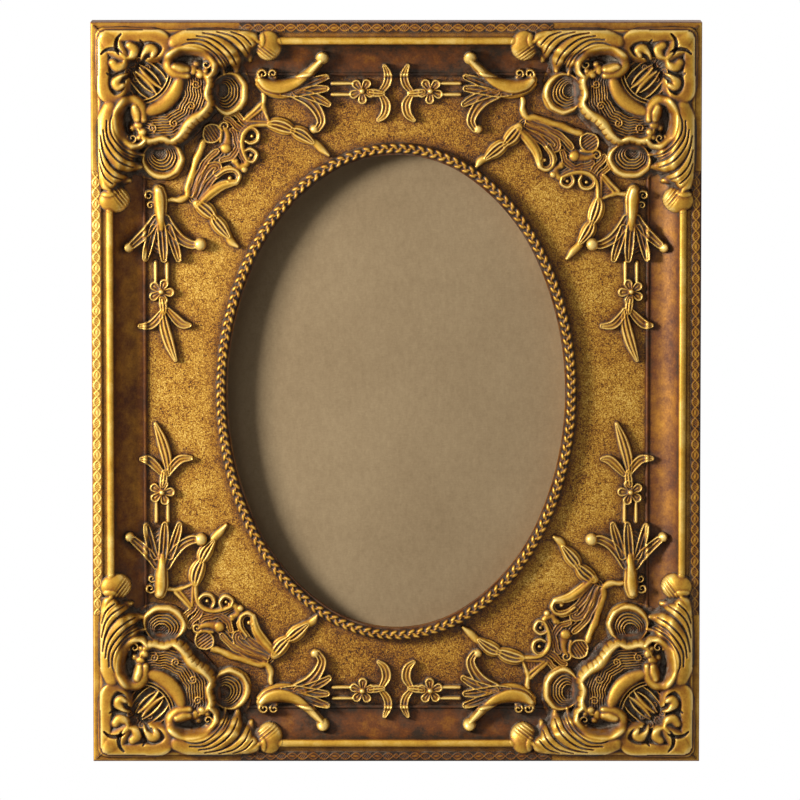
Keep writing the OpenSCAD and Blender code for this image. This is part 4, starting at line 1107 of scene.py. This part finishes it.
def set_camera():
    camera = bpy.data.objects.new("camera", bpy.data.cameras.new("camera"))
    bpy.context.scene.collection.objects.link(camera)
    view_wide = PICTURE_PX * STEP * MM
    camera.data.sensor_width = SENSOR_MM
    camera.data.lens = SENSOR_MM * CAMERA_FAR / view_wide
    camera.data.clip_end = 50
    across = (PICTURE_PX / 2 - PHOTO_CENTRE_X_PX) * STEP * MM
    down = (PICTURE_PX / 2 - PHOTO_CENTRE_Y_PX) * STEP * MM
    target = Vector((across, AIM_Y, -down))
    camera.location = target + CAMERA_FAR * Vector((0, -math.cos(CAMERA_RISE), math.sin(CAMERA_RISE)))
    aim(camera, target)
    bpy.context.scene.camera = camera


def lamp(name, towards, far, size, power, tint):
    """A square soft lamp in a direction from the frame's middle."""
    data = bpy.data.lights.new(name, "AREA")
    data.shape = "SQUARE"
    data.size = size
    data.energy = power
    data.color = tint
    obj = bpy.data.objects.new(name, data)
    bpy.context.scene.collection.objects.link(obj)
    obj.location = Vector(towards).normalized() * far
    aim(obj, (0, 0, 0))


def sees_background(tree):
    """1 for the rays that show the white background: the camera's, and those of metal and glass."""
    ray = tree.nodes.new("ShaderNodeLightPath")
    seen = ray.outputs["Is Camera Ray"]
    for kind in ("Is Glossy Ray", "Is Transmission Ray"):
        either = tree.nodes.new("ShaderNodeMath")
        either.operation = "MAXIMUM"
        tree.links.new(seen, either.inputs[0])
        tree.links.new(ray.outputs[kind], either.inputs[1])
        seen = either.outputs[0]
    return seen


def set_lights():
    for settings in LAMPS:
        lamp(*settings)
    world = bpy.data.worlds.new("studio")
    bpy.context.scene.world = world
    world.use_nodes = True
    tree = world.node_tree
    seen = tree.nodes["Background"]
    seen.inputs["Color"].default_value = (1, 1, 1, 1)
    seen.inputs["Strength"].default_value = 1.0
    around = tree.nodes.new("ShaderNodeBackground")
    around.inputs["Color"].default_value = ROOM_COLOUR
    around.inputs["Strength"].default_value = ROOM_STRENGTH
    pick = tree.nodes.new("ShaderNodeMixShader")
    tree.links.new(sees_background(tree), pick.inputs[0])
    tree.links.new(around.outputs[0], pick.inputs[1])
    tree.links.new(seen.outputs[0], pick.inputs[2])
    tree.links.new(pick.outputs[0], tree.nodes["World Output"].inputs["Surface"])


def set_floor():
    """A pale floor well below the frame, pure white to the rays that show the background."""
    mesh = bpy.data.meshes.new("floor")
    square = [(-1, -1), (1, -1), (1, 1), (-1, 1)]
    corners = [(x * FLOOR_HALF, y * FLOOR_HALF, FLOOR_LEVEL) for x, y in square]
    mesh.from_pydata(corners, [], [(0, 1, 2, 3)])
    floor = bpy.data.objects.new("floor", mesh)
    bpy.context.scene.collection.objects.link(floor)
    n = Nodes("pale_floor")
    n.wire(Base_Color=(0.80, 0.79, 0.77, 1), Roughness=0.9)
    white = n.new("ShaderNodeEmission", {"Color": (1, 1, 1, 1), "Strength": 1.0}).outputs[0]
    pick = n.new("ShaderNodeMixShader", {0: sees_background(n.tree), 1: n.shader.outputs[0], 2: white})
    n.tree.links.new(pick.outputs[0], n.tree.nodes["Material Output"].inputs["Surface"])
    mesh.materials.append(n.material)


set_camera()
set_lights()
set_floor()
gilded = dress_ornament() + dress_bands() + [dress_rope()]
carved = carved_gold()
for item in gilded:
    item.data.materials.append(carved)
dress_nodes()
bpy.context.scene.view_settings.view_transform = "Standard"
